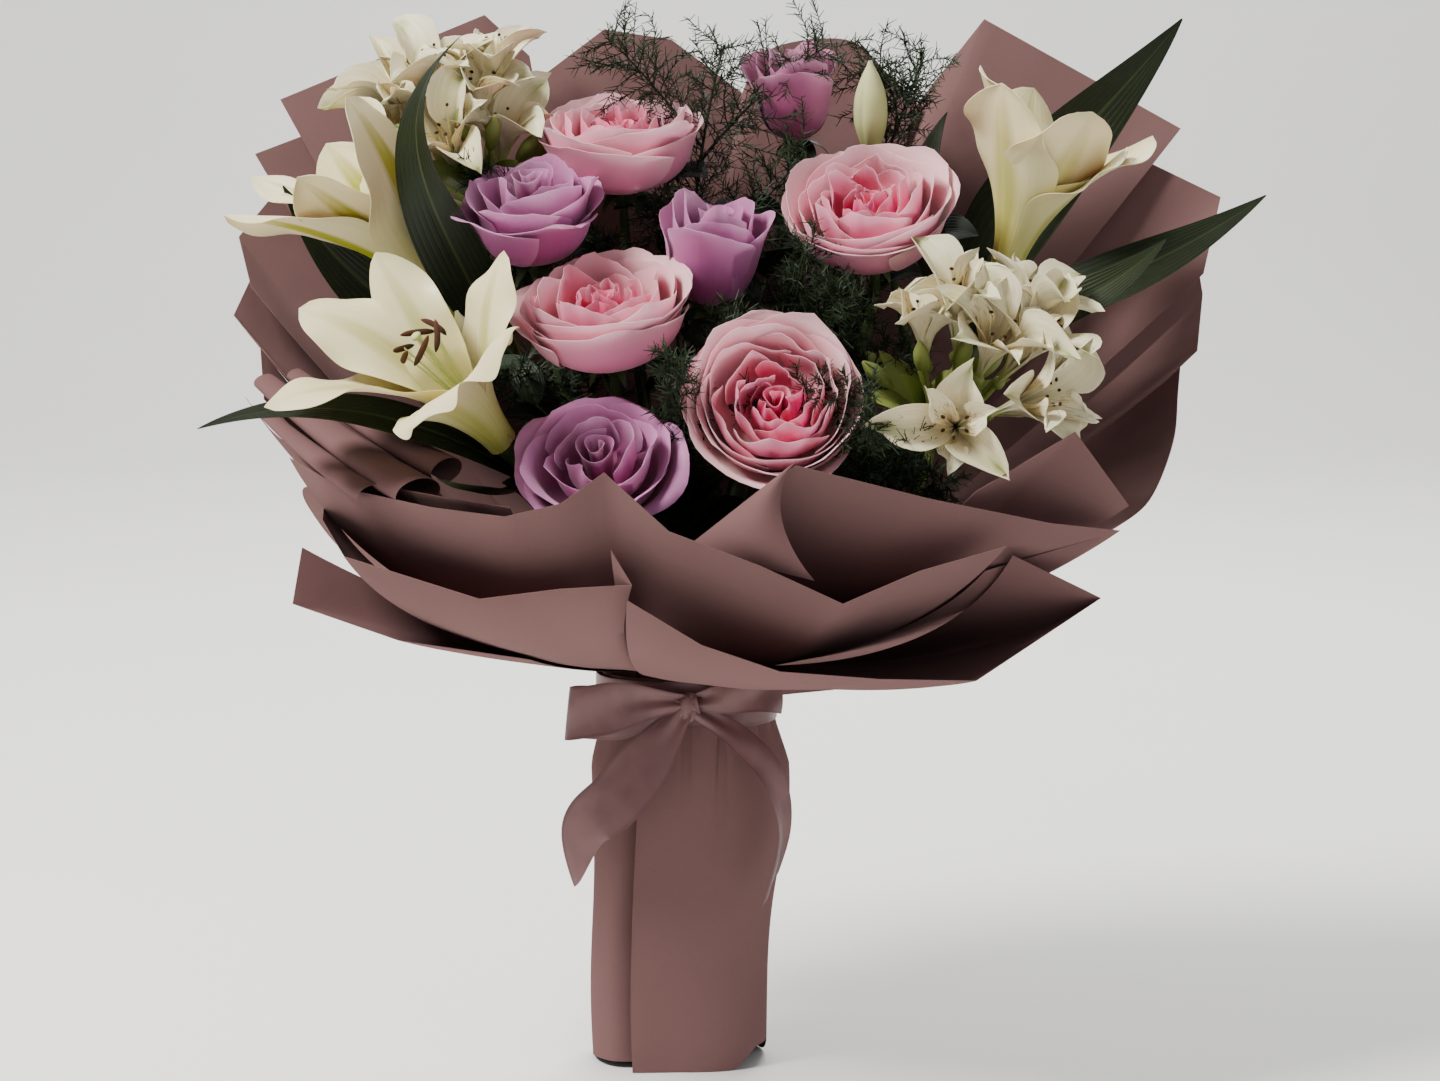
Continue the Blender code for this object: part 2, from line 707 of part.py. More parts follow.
# name: rank from the innermost sheet outwards, azimuths of its foot in the tie in degrees, belly
# in mm, sag as a share of its rise, whether its rim is smooth, and the rim's points in mm from
# one side to the other
SHEETS = {
    "paper_back_right": (
        0, (112, 62), 10, 0, True,
        ((54, 92, 483), (82, 94, 488), (102, 91, 472), (118, 88, 456)),
    ),
    "paper_back_left": (
        1, (138, 84), 10, 0, False,
        ((-69, 86, 469), (-37, 91, 493), (-4, 94, 488), (29, 92, 467)),
    ),
    "paper_fan_left": (2, (172, 118), 12, 0, False, ((-195, 76, 459), (-96, 96, 500), (-74, 96, 480))),
    "paper_fan_right": (2, (72, 12), 8, 0, False, ((114, 95, 452), (150, 92, 498), (245, 72, 445))),
    "paper_side_left_high": (3, (178, 128), 20, 0, False, ((-206, 62, 433), (-130, 100, 462))),
    "paper_side_right_high": (
        3, (52, -4), 14, 0, False,
        ((190, 94, 448), (264, 64, 412), (254, 46, 376)),
    ),
    "paper_side_left": (4, (192, 150), 18, 0, False, ((-203, 14, 372), (-212, 42, 394), (-196, 74, 416))),
    "paper_side_right": (
        4, (30, -16), 18, 0, False,
        ((254, 76, 384), (254, 48, 366), (248, 18, 341), (232, 2, 329)),
    ),
    "paper_collar_flap": (
        4, (288, 322), 22, 0.16, False,
        ((133, -122, 291), (178, -108, 316), (204, -94, 281)),
    ),
    "paper_side_left_low": (
        5, (206, 164), 22, 0.04, False,
        ((-182, -16, 330), (-212, 18, 358), (-202, 46, 384)),
    ),
    "paper_side_right_low": (
        5, (14, -60), 28, 0.14, True,
        ((250, 34, 334), (242, 4, 315), (234, -24, 298), (218, -52, 278), (198, -80, 268)),
    ),
    "paper_collar_left": (
        6, (196, 252), 28, 0.18, True,
        ((-203, -14, 322), (-184, -42, 306), (-150, -78, 293), (-104, -116, 288), (-72, -138, 286)),
    ),
    "paper_collar_roll": (
        6, (262, 316), 38, 0.18, False,
        ((54, -150, 304), (112, -140, 290), (167, -116, 276), (200, -96, 270), (138, -112, 254)),
    ),
    "paper_collar_peak": (
        7, (230, 308), 42, 0.2, False,
        ((-78, -144, 281), (-49, -154, 290), (-30, -158, 304), (-2, -164, 279), (37, -170, 265),
         (73, -168, 248), (107, -152, 260), (146, -132, 268), (122, -126, 234)),
    ),
    "paper_collar_trough": (
        8, (198, 268), 30, 0.1, True,
        ((-166, -58, 288), (-158, -86, 272), (-143, -108, 259), (-82, -146, 246), (-30, -158, 252),
         (4, -160, 242)),
    ),
    "paper_wing_left": (
        9, (184, 232), 8, 0, False,
        ((-176, -44, 256), (-178, -60, 232), (-126, -88, 219), (-66, -94, 213)),
    ),
    "paper_wing_right": (
        9, (252, 340), 34, 0.39, False,
        ((-21, -170, 249), (12, -172, 233), (81, -160, 214), (134, -132, 205), (194, -90, 240)),
    ),
}
SHEET_COLUMNS = 6


def polyline(points, t):
    at = t * (len(points) - 1)
    i = min(int(at), len(points) - 2)
    return mm(*points[i]).lerp(mm(*points[i + 1]), at - i)


def smooth_line(points, t):
    """A Catmull-Rom curve through the points."""
    at = t * (len(points) - 1)
    i = min(int(at), len(points) - 2)
    p = [mm(*points[max(0, min(len(points) - 1, i + k))]) for k in (-1, 0, 1, 2)]
    x = at - i
    return 0.5 * (
        2 * p[1]
        + (p[2] - p[0]) * x
        + (2 * p[0] - 5 * p[1] + 4 * p[2] - p[3]) * x * x
        + (3 * p[1] - p[0] - 3 * p[2] + p[3]) * x**3
    )


def sheet_rows(rank):
    """Rows of faces up a sheet, the first of which stands in the tie. Outer sheets bend more."""
    return 4 if rank < 4 else 5


def paper_sheet(rank, azimuths, belly, sag, smooth, rim):
    """The shape of one sheet of paper: gathered upright in the tie, then flaring to its rim."""
    radius = SHEET_FIRST_RADIUS_MM + SHEET_STEP_MM * rank
    neck_z = SHEET_NECK_Z_MM - SHEET_NECK_STEP_MM * rank
    neck_share = 1 / sheet_rows(rank)

    def place(u, v):
        side = (u + 1) / 2
        azimuth = azimuths[0] + (azimuths[1] - azimuths[0]) * side
        out = direction(azimuth, 0)
        neck = mm(WAIST_X_MM + radius * SHEET_STRETCH * out.x, WAIST_Y_MM + radius * out.y, neck_z)
        if v <= neck_share:
            return neck - mm(0, 0, (neck_z - SHEET_FOOT_Z_MM) * (1 - v / neck_share))
        t = (v - neck_share) / (1 - neck_share)
        soft, crisp = smooth_line(rim, side), polyline(rim, side)
        edge = soft if smooth else soft.lerp(crisp, t * t)
        middle = neck.lerp(edge, 0.5) + out * belly / 1000
        middle.z -= sag * (edge.z - neck.z)
        return bezier((neck, middle, edge), t)

    return place


def paper(name, rank, azimuths, belly, sag, smooth, rim):
    folds = len(rim) - 1
    columns = SHEET_COLUMNS if smooth else folds * math.ceil(SHEET_COLUMNS / folds)
    shape = paper_sheet(rank, azimuths, belly, sag, smooth, rim)
    fuse(name, [blade(shape, columns, sheet_rows(rank), PAPER_MM)], "paper")


# Handle wrap

# height, half width and half depth of the wrapped handle, in mm, from its foot up
HANDLE_SECTIONS = ((0, 43, 31), (70, 45, 33), (146, 47, 36), (167, 42, 35), (191, 42, 35))
HANDLE_EDGE_DEG = 236
HANDLE_TURN_DEG = 432
HANDLE_LAP_MM = 1.6


def handle_section(z):
    for (z0, a0, b0), (z1, a1, b1) in zip(HANDLE_SECTIONS, HANDLE_SECTIONS[1:]):
        if z <= z1:
            t = (z - z0) / (z1 - z0)
            return a0 + (a1 - a0) * t, b0 + (b1 - b0) * t
    return HANDLE_SECTIONS[-1][1:]


def handle_point(turn, z, out=0.0):
    """A point of the wrap. turn is how far the sheet has gone round, in degrees, from its outer
    edge on the front. The section is a rounded rectangle, and out is a distance off the wrap."""
    a, b = handle_section(z)
    azimuth = math.radians(HANDLE_EDGE_DEG + turn)
    c, s = math.cos(azimuth), math.sin(azimuth)
    square = 2.6
    r = (abs(c / a) ** square + abs(s / b) ** square) ** (-1 / square)
    r += out - HANDLE_LAP_MM * turn / 360
    x = WAIST_X_MM * smoothstep(z / WAIST_Z_MM)
    return mm(x + r * c, r * s, z)


def handle_wrap():
    rows = len(HANDLE_SECTIONS) - 1

    def place(u, v):
        return handle_point((u + 1) / 2 * HANDLE_TURN_DEG, HANDLE_SECTIONS[round(v * rows)][0])

    fuse("paper_handle_wrap", [blade(place, 20, rows, PAPER_MM)], "paper")


# Ribbon


def ribbon_strip(points, facing, half_width):
    """A flat strip of ribbon along a curve through the points. facing and half_width give the
    way its face looks and its half width, in mm, at each share of its length."""

    def place(u, v):
        centre = smooth_line(points, v)
        ahead = smooth_line(points, min(1.0, v + 0.02)) - smooth_line(points, max(0.0, v - 0.02))
        side = ahead.cross(facing(v)).normalized()
        return centre + side * u * half_width(v) / 1000

    return blade(place, 1, 2 * (len(points) - 1), RIBBON_MM)


def ribbon():
    """The ribbon: a band round the waist, a knot in front, two flat loops and two tails."""
    middle = WAIST_Z_MM - 1

    def band(u, v):
        off = RIBBON_OFF_MM + HANDLE_LAP_MM * v
        return handle_point(360 * v, middle + u * RIBBON_WIDTH_MM / 2, off)

    knot_frame = flower_frame(mm(6, -40.5, middle), Vector((1, 0, 0.2)).normalized())
    pieces = [
        blade(band, 1, 22, RIBBON_MM),
        turned(((0, 7), (4, 6), (5.2, 0), (4, -6), (0, -7)), knot_frame, 6),
        ribbon_strip(
            ((5, -41, 181), (-14, -47, 184), (-34, -51, 181), (-47, -50, 177)),
            lambda v: Vector((0, -1, 0)),
            lambda v: 5 + 9 * smoothstep(2 * v),
        ),
        ribbon_strip(
            ((7, -41, 181), (24, -45, 183), (42, -42, 184), (54, -31, 182)),
            lambda v: Vector((0.5 * v, -1, 0.2)),
            lambda v: 4 + 2 * smoothstep(2 * v),
        ),
        ribbon_strip(
            ((4, -42, 179), (-10, -47, 160), (-28, -51, 138), (-42, -50, 122), (-38, -46, 96)),
            lambda v: Vector((-0.5 * v, -1, 0)),
            lambda v: 4.5 + 8 * smoothstep(2.5 * v),
        ),
        ribbon_strip(
            ((8, -42, 178), (30, -47, 166), (48, -47, 146), (56, -43, 120), (45, -41, 86)),
            lambda v: Vector((0.9 * smoothstep(2 * v), -1, 0.3)),
            lambda v: 4.5 + 3 * smoothstep(3 * v) - 6 * smoothstep(2 * v - 1),
        ),
    ]
    fuse("ribbon", pieces, "ribbon")


def stem_tie():
    """The ring of twine that holds the stems together inside the paper."""
    bpy.ops.mesh.primitive_torus_add(
        location=mm(WAIST_X_MM, WAIST_Y_MM, WAIST_Z_MM - 4),
        major_segments=18,
        minor_segments=4,
        major_radius=tie_radius() / 1000,
        minor_radius=TIE_MM / 1000,
    )
    fuse("stem_tie", [bpy.context.object], "twine")


def main():
    clear_scene()
    for name in COLOURS:
        make_material(name)
    for name, values in ROSES.items():
        rose(name, *values)
    for name, values in LILIES.items():
        lily(name, *values)
    for name, values in BUDS.items():
        bud(name, *values[:-1])
    for name, values in ALSTROEMERIA.items():
        alstroemeria(name, *values)
    for name, values in SHEETS.items():
        paper(name, *values)
    handle_wrap()
    ribbon()
    stem_tie()
    graph = bpy.context.evaluated_depsgraph_get()
    obstacles = [BVHTree.FromObject(obj, graph) for obj in collection("lily_bouquet").objects]
    for name, values in FERNS.items():
        fern(name, *values, obstacles)
    for helper in ("workbench", "joined"):
        bpy.data.collections.remove(collection(helper))


main()
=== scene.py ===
"""The looks of a hand-tied lily bouquet: lilies, garden roses, alstroemeria and asparagus fern in
pleated paper, tied with a satin ribbon and standing on its wrapped stems.

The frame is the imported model's: +Z is up, -Y is the front, and the origin is the middle of the
cut stem ends. Tables are in millimetres and degrees, and meshes are in metres.
"""

import math

import bpy
import numpy as np
from mathutils import Matrix, Vector


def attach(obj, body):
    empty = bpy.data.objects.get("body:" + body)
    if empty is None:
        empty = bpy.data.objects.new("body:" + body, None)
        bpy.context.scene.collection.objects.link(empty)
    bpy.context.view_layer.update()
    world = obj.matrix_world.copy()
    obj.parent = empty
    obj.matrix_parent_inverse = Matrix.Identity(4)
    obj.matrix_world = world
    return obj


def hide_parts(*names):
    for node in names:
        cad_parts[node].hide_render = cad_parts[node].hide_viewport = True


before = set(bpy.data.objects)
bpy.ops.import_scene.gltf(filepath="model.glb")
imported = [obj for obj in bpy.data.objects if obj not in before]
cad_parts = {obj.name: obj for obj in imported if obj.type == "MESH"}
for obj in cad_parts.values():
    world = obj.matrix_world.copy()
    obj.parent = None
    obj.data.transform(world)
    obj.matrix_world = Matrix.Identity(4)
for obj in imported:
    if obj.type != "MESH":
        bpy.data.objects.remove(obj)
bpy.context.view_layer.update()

# Sizes, in millimetres
WAIST_MM = (4.0, 4.0, 180.0)
TIE_RISE_MM = 8
TIE_DROP_MM = 18
STEM_MM = 3.5
STEM_SPACING_MM = 7.2
STEM_SPREAD = 1.5
PETAL_MM = 0.35
TEPAL_MM = 0.6
LEAF_MM = 0.5
PAPER_MM = 0.45
RIBBON_MM = 0.35
GOLDEN_ANGLE = math.radians(137.508)
UP = np.array((0, 0, 1.0))

# Cells across and along each kind of blade. A rose has fewer along its inner petals
GRIDS = {
    "rose": (18, 18), "scroll": (64, 10), "sepal": (4, 10), "tepal": (20, 42), "leaf": (20, 56),
    "lily_bud": (48, 28), "floret": (12, 18), "bract": (8, 20), "twig_leaf": (6, 12),
    "corner": (24, 24), "rolled_fold": (28, 26), "handle": (180, 40), "band": (16, 160),
    "loop": (16, 90), "strip": (14, 60), "knot": (10, 40),
}
LATHE_STEPS = 6
SHARP_EDGE = math.radians(50)


# Vectors and curves, on whole arrays of numbers


def unit(v):
    v = np.asarray(v, float)
    return v / np.maximum(np.linalg.norm(v, axis=-1, keepdims=True), 1e-12)


def direction(azimuth, elevation):
    """The unit vector at this azimuth from +X and this elevation above the horizon, in degrees."""
    a, e = math.radians(azimuth), math.radians(elevation)
    return np.array((math.cos(a) * math.cos(e), math.sin(a) * math.cos(e), math.sin(e)))


def flower_frame(base, axis, roll=0.0):
    """The matrix that stands a flower's own +Z along axis, at base, which is in mm."""
    turn = Vector(axis).to_track_quat("Z", "Y").to_matrix().to_4x4()
    spin = Matrix.Rotation(math.radians(roll), 4, "Z")
    return np.array(Matrix.Translation(Vector(base)) @ turn @ spin)


def bezier(points, t):
    """The points at t, a number or an array, on the Bezier curve of these control points."""
    t = np.asarray(t, float)[..., None]
    points = [np.asarray(p, float) for p in points]
    while len(points) > 1:
        points = [a + (b - a) * t for a, b in zip(points, points[1:])]
    return points[0]


def curve(points, steps):
    return bezier(points, np.linspace(0, 1, steps))


def spans(points, t):
    """The points as an array, and for each t the point before it and its share of the way on."""
    points = np.asarray(points, float)
    at = np.clip(t, 0, 1) * (len(points) - 1)
    before = np.minimum(at.astype(int), len(points) - 2)
    return points, before, (at - before)[..., None]


def smooth_line(points, t):
    """The points at t on a Catmull-Rom curve through the points."""
    points, i, x = spans(points, t)
    p0, p1, p2, p3 = (points[np.clip(i + k, 0, len(points) - 1)] for k in (-1, 0, 1, 2))
    bend = (2 * p0 - 5 * p1 + 4 * p2 - p3) * x * x + (3 * p1 - p0 - 3 * p2 + p3) * x**3
    return 0.5 * (2 * p1 + (p2 - p0) * x + bend)


def straight_line(points, t):
    """The points at t on the straight runs between the points."""
    points, i, x = spans(points, t)
    return points[i] * (1 - x) + points[i + 1] * x


def smoothstep(t):
    t = np.clip(t, 0, 1)
    return t * t * (3 - 2 * t)


def hump(x, width):
    """A smooth bump of height 1 at x = 0."""
    return np.exp(-((x / width) ** 2))


def polar(r, angle, z):
    return np.stack((r * np.cos(angle), r * np.sin(angle), z), axis=-1)


def round_axis(phi, out, side, up):
    """The points this far outwards, sideways and up on a petal that stands at phi on its flower."""
    c, s = math.cos(phi), math.sin(phi)
    return np.stack((out * c - side * s, out * s + side * c, up), axis=-1)


# Meshes


def new_object(name, data):
    obj = bpy.data.objects.new(name, data)
    bpy.context.scene.collection.objects.link(obj)
    return obj


class Skin:
    """Gathers blades and rods, in mm, into one mesh. Each point keeps its place on its own blade
    or rod: across from -1 to 1, along from 0 to 1, a tone, and a side, 0 in front and 1 behind."""

    def __init__(self):
        self.points = []
        self.faces = []
        self.places = []
        self.sides = []
        self.count = 0

    def add(self, points, faces, place, side, stand):
        if stand is not None:
            points = points @ stand[:3, :3].T + stand[:3, 3]
        self.points.append(points)
        self.faces += [[self.count + i for i in face] for face in faces]
        self.places.append(place)
        self.sides.append(side)
        self.count += len(points)

    def blade(self, place, grid, thickness, tone=0.0, stand=None):
        """A thin closed blade on a grid of cells across and along that place(u, v) bends."""
        across, along = np.linspace(-1, 1, grid[0] + 1), np.linspace(0, 1, grid[1] + 1)
        u, v = np.meshgrid(across, along, indexing="ij")
        middle = place(u, v)
        normal = unit(np.cross(np.gradient(middle, axis=0), np.gradient(middle, axis=1)))
        edge = np.maximum(np.abs(u), np.abs(2 * v - 1)) ** 6
        off = normal * (thickness / 2 * (1 - 0.5 * edge))[..., None]
        index = np.arange(u.size).reshape(u.shape)
        quads = np.stack((index[:-1, :-1], index[1:, :-1], index[1:, 1:], index[:-1, 1:]), axis=-1)
        quads = quads.reshape(-1, 4)
        rim = np.concatenate((index[:-1, 0], index[-1, :-1], index[:0:-1, -1], index[0, :0:-1]))
        after = np.roll(rim, -1)
        rim_quads = np.stack((after, rim, rim + u.size, after + u.size), axis=-1)
        faces = np.concatenate((quads, quads[:, ::-1] + u.size, rim_quads)).tolist()
        points = np.concatenate(((middle + off).reshape(-1, 3), (middle - off).reshape(-1, 3)))
        where = np.stack((u, v, np.full(u.shape, tone)), axis=-1).reshape(-1, 3)
        sides = np.repeat((0.0, 1.0), u.size)
        self.add(points, faces, np.concatenate((where, where)), sides, stand)

    def tubes(self, lines, rings, radii, tone, stand):
        """Closed tubes along lines. rings holds unit vectors: tubes by points by sides by 3."""
        points = lines[:, :, None] + rings * radii[:, :, None, None]
        shape = points.shape[:3]
        index = np.arange(math.prod(shape)).reshape(shape)
        near, far = index[:, :-1], index[:, 1:]
        quads = np.stack((near, np.roll(near, -1, 2), np.roll(far, -1, 2), far), axis=-1)
        faces = quads.reshape(-1, 4).tolist()
        faces += index[:, 0, ::-1].tolist() + index[:, -1].tolist()
        across, along = np.linspace(-1, 1, shape[2]), np.linspace(0, 1, shape[1])[:, None]
        tones = np.asarray(tone, float).reshape(-1, 1, 1)
        where = np.stack([np.broadcast_to(part, shape) for part in (across, along, tones)], axis=-1)
        self.add(points.reshape(-1, 3), faces, where.reshape(-1, 3), np.zeros(index.size), stand)

    def rods(self, lines, radii, sides=6, tone=0.0, stand=None):
        """Round rods along lines, an array of rods by points by 3, with a radius at each point."""
        lines = np.asarray(lines, float)
        radii = np.broadcast_to(np.asarray(radii, float), lines.shape[:2])
        ahead = unit(np.gradient(lines, axis=1))
        span = np.abs(lines[:, -1] - lines[:, 0])
        across = unit(np.cross(ahead, np.eye(3)[np.argmin(span, axis=1)][:, None, :]))
        other = np.cross(ahead, across)
        turn = (np.arange(sides) / sides * math.tau)[:, None]
        rings = across[:, :, None] * np.cos(turn) + other[:, :, None] * np.sin(turn)
        self.tubes(lines, rings, radii, tone, stand)

    def rod(self, points, steps, start, end, sides=6, tone=0.0, stand=None):
        """One rod along a Bezier curve, whose radius goes from start to end. Gives its line."""
        line = curve(points, steps)
        self.rods(line[None], np.linspace(start, end, steps), sides, tone, stand)
        return line

    def lathe(self, profile, sides=16, tone=0.0, stand=None):
        """A body of revolution through (radius, height) pairs, from its foot up."""
        steps = np.linspace(0, 1, LATHE_STEPS * (len(profile) - 1) + 1)
        outline = smooth_line([(r, 0, z) for r, z in profile], steps)
        turn = np.arange(sides) / sides * math.tau
        rings = np.broadcast_to(polar(1, turn, 0 * turn), (1, len(steps), sides, 3))
        self.tubes(outline[None] * UP, rings, np.maximum(outline[None, :, 0], 0.02), tone, stand)

    def piece(self, name, finish, slot, *nodes):
        """Makes the piece, which rides on the bouquet and stands for the CAD nodes named."""
        mesh = bpy.data.meshes.new(name)
        mesh.from_pydata((np.concatenate(self.points) / 1000).tolist(), [], self.faces)
        place = mesh.attributes.new("place", "FLOAT_VECTOR", "POINT")
        place.data.foreach_set("vector", np.concatenate(self.places).astype(np.float32).ravel())
        side = mesh.attributes.new("side", "FLOAT", "POINT")
        side.data.foreach_set("value", np.concatenate(self.sides).astype(np.float32))
        mesh.shade_smooth()
        mesh.set_sharp_from_angle(angle=SHARP_EDGE)
        mesh.materials.append(finish)
        obj = new_object(name, mesh)
        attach(obj, "root")
        if nodes:
            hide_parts(*nodes)
        return obj


# Finishes


def tint(colour):
    """The linear values that a shader takes for a colour as seen on a screen, 0 to 255. A wire
    stays as it is."""
    if isinstance(colour, Wire):
        return colour
    parts = [c / 255 for c in colour]
    linear = [c / 12.92 if c <= 0.04045 else ((c + 0.055) / 1.055) ** 2.4 for c in parts]
    return (*linear, 1.0)


class Wire:
    """An output of a material's nodes. Arithmetic on wires adds Math nodes."""

    def __init__(self, finish, socket):
        self.finish = finish
        self.socket = socket

    def maths(self, operation, *values):
        return self.finish.node("ShaderNodeMath", {"operation": operation}, dict(enumerate(values)))

    def __add__(self, other):
        return self.maths("ADD", self, other)

    def __sub__(self, other):
        return self.maths("SUBTRACT", self, other)

    def __rsub__(self, other):
        return self.maths("SUBTRACT", other, self)

    def __mul__(self, other):
        return self.maths("MULTIPLY", self, other)

    def __truediv__(self, other):
        return self.maths("DIVIDE", self, other)

    def __pow__(self, other):
        return self.maths("POWER", self, other)

    def __abs__(self):
        return self.maths("ABSOLUTE", self)

    def wave(self):
        """The sine of this value, from 0 to 1."""
        return self.maths("SINE", self) * 0.5 + 0.5

    def clamped(self, low=0.0, high=1.0):
        """This value's share of the way from low to high, kept from 0 to 1."""
        settings = {"clamp": True}
        return self.finish.node("ShaderNodeMapRange", settings, {0: self, 1: low, 2: high})


class Finish:
    """A procedural material on one Principled shader."""

    def __init__(self, name, **constants):
        self.material = bpy.data.materials.new(name)
        self.material.use_nodes = True
        self.tree = self.material.node_tree
        self.shader = self.tree.nodes["Principled BSDF"]
        for socket, value in constants.items():
            self.shader.inputs[socket.replace("_", " ")].default_value = value

    def node(self, kind, settings, inputs, output=0):
        """Adds a node: its settings first, then the values or wires of its sockets."""
        made = self.tree.nodes.new(kind)
        for name, value in settings.items():
            setattr(made, name, value)
        for key, value in inputs.items():
            if isinstance(value, Wire):
                self.tree.links.new(value.socket, made.inputs[key])
            else:
                made.inputs[key].default_value = value
        return Wire(self, made.outputs[output])

    def feed(self, socket, wire):
        self.tree.links.new(wire.socket, self.shader.inputs[socket])

    def place(self, part):
        """Where on its blade or rod a point is: X across, Y along, Z its tone."""
        where = self.node("ShaderNodeAttribute", {"attribute_name": "place"}, {}, "Vector")
        return self.node("ShaderNodeSeparateXYZ", {}, {0: where}, part)

    def side(self):
        return self.node("ShaderNodeAttribute", {"attribute_name": "side"}, {}, "Fac")

    def spots(self, scale, detail=3.0, vector=None, distortion=0.0):
        """Noise from 0 to 1. scale counts its spots to the metre, unless a vector is given."""
        if vector is None:
            vector = self.node("ShaderNodeTexCoord", {}, {}, "Object")
        inputs = {"Vector": vector, "Scale": scale, "Detail": detail, "Distortion": distortion}
        return self.node("ShaderNodeTexNoise", {}, inputs)

    def streaks(self, detail, x, y, z):
        """Noise that is stretched along a petal."""
        return self.spots(1.0, detail, self.node("ShaderNodeCombineXYZ", {}, {0: x, 1: y, 2: z}))

    def mix(self, share, first, second):
        """The colour that is share of the way from the first colour to the second."""
        inputs = {0: share, 6: tint(first), 7: tint(second)}
        return self.node("ShaderNodeMix", {"data_type": "RGBA"}, inputs, 2)

    def surface(self, colour, roughness, height, depth_mm, strength):
        """Feeds the shader, with this bump, and gives the material."""
        self.feed("Base Color", colour)
        self.feed("Roughness", roughness)
        inputs = {"Height": height, "Distance": depth_mm / 1000, "Strength": strength}
        self.feed("Normal", self.node("ShaderNodeBump", {}, inputs))
        return self.material


def rose_finish(name, heart, blush, lip, outside):
    """Velvety petals: the heart colour deep in the bloom, the lip colour along the edges."""
    finish = Finish(name, Sheen_Weight=0.2, Sheen_Roughness=0.5, Specular_IOR_Level=0.2,
                    Subsurface_Weight=0.3, Subsurface_Scale=0.005,
                    Subsurface_Radius=(1.0, 0.7, 0.8))
    across, along, tone = (finish.place(part) for part in "XYZ")
    streaks = finish.streaks(4.0, across * 9, along * 1.6, tone * 31)
    blotch = finish.spots(160.0, 2.0)
    depth = (tone * 1.35 - along * 0.45 + streaks * 0.3 + blotch * 0.15 - 0.02).clamped()
    inside = finish.mix(depth, blush, heart)
    edge = (along**3.0 * 0.75 + abs(across) ** 5.0 * 0.35 - tone * 0.45).clamped()
    inside = finish.mix(edge, inside, lip)
    behind = finish.mix((along * 0.9 + streaks * 0.25 - 0.1).clamped(), outside, lip)
    colour = finish.mix(finish.side() * (1 - tone * 0.9), inside, behind)
    veins = finish.streaks(3.0, across * 26, along * 1.1, tone * 17)
    relief = veins + finish.spots(900.0, 2.0) * 0.3
    return finish.surface(colour, streaks * 0.2 + 0.42, relief, 0.25, 0.35)


def tepal_finish(name, petal, throat, rib):
    """Waxy lily tepals: cream, greener in the throat, with a yellow-green rib. The tone is how
    strong the rib's colour is."""
    finish = Finish(name, Specular_IOR_Level=0.4, Subsurface_Weight=0.08, Subsurface_Scale=0.004)
    across, along, tone = (finish.place(part) for part in "XYZ")
    streaks = finish.streaks(4.0, across * 14, along * 1.2, tone)
    rib_width = 0.5 - along * 0.3
    on_rib = (1 - abs(across) / rib_width).clamped(0, 0.55) * (1 - (along - 0.7).clamped(0, 0.3))
    on_rib = on_rib * (finish.streaks(2.0, across * 30, along * 0.7, tone) * 0.7 + 0.6)
    deep = (1 - along * 1.9 + streaks * 0.4).clamped()
    colour = finish.mix(deep * 0.8, petal, throat)
    colour = finish.mix((on_rib * (tone + streaks * 0.3)).clamped(0, 1.15), colour, rib)
    tip = (along - 0.93).clamped(0, 0.08)
    colour = finish.mix(tip * 0.5, colour, (178, 172, 118))
    veins = (across * 40 + streaks * 3).wave()
    return finish.surface(colour, streaks * 0.2 + 0.34, veins * 0.5 + streaks, 0.3, 0.3)


def alstroemeria_finish(name):
    """Cream tepals with green tips. Tones over a half have fine dark dashes and a yellow patch."""
    finish = Finish(name, Specular_IOR_Level=0.35, Subsurface_Weight=0.06, Subsurface_Scale=0.003)
    across, along, tone = (finish.place(part) for part in "XYZ")
    streaks = finish.streaks(3.0, across * 8, along * 1.4, tone * 9)
    colour = finish.mix(streaks.clamped(0.3, 0.8), (230, 222, 190), (212, 200, 164))
    green = ((1 - abs(across) * 1.6).clamped() * (along - 0.72).clamped(0, 0.2)) * (1 - tone)
    foot = (0.3 - along).clamped(0, 0.3)
    colour = finish.mix((green + foot).clamped(), colour, (150, 160, 88))
    yellow = (1 - abs(along - 0.45) * 4).clamped() * tone
    colour = finish.mix(yellow * 0.5, colour, (226, 200, 128))
    dashes = finish.streaks(1.0, across * 16, along * 7, tone * 50)
    marked = (dashes - 0.6).clamped(0, 0.04) * (1 - abs(along - 0.55) * 3.2).clamped() * tone
    colour = finish.mix(marked, colour, (96, 52, 46))
    relief = (across * 26 + streaks * 2).wave() * 0.4 + streaks
    return finish.surface(colour, streaks * 0.2 + 0.4, relief, 0.25, 0.3)


def leaf_finish(name, dark, light):
    """A leathery leaf with parallel veins, paler along the rib and below. A tone makes it paler."""
    finish = Finish(name, Specular_IOR_Level=0.18)
    across, tone = finish.place("X"), finish.place("Z")
    blotch = finish.spots(70.0, 4.0)
    veins = (across * 34 + blotch * 0.8).wave() ** 3.0
    colour = finish.mix((veins * 0.14 + blotch * 0.5 + tone - 0.1).clamped(), dark, light)
    rib = (1 - abs(across) * 16).clamped() * 0.6
    colour = finish.mix(rib, colour, (74, 84, 48))
    colour = finish.mix(finish.side() * 0.3, colour, (66, 74, 50))
    relief = veins * -1.0 + finish.spots(500.0, 2.0) * 0.4
    return finish.surface(colour, blotch * 0.25 + 0.38, relief, 0.3, 0.5)


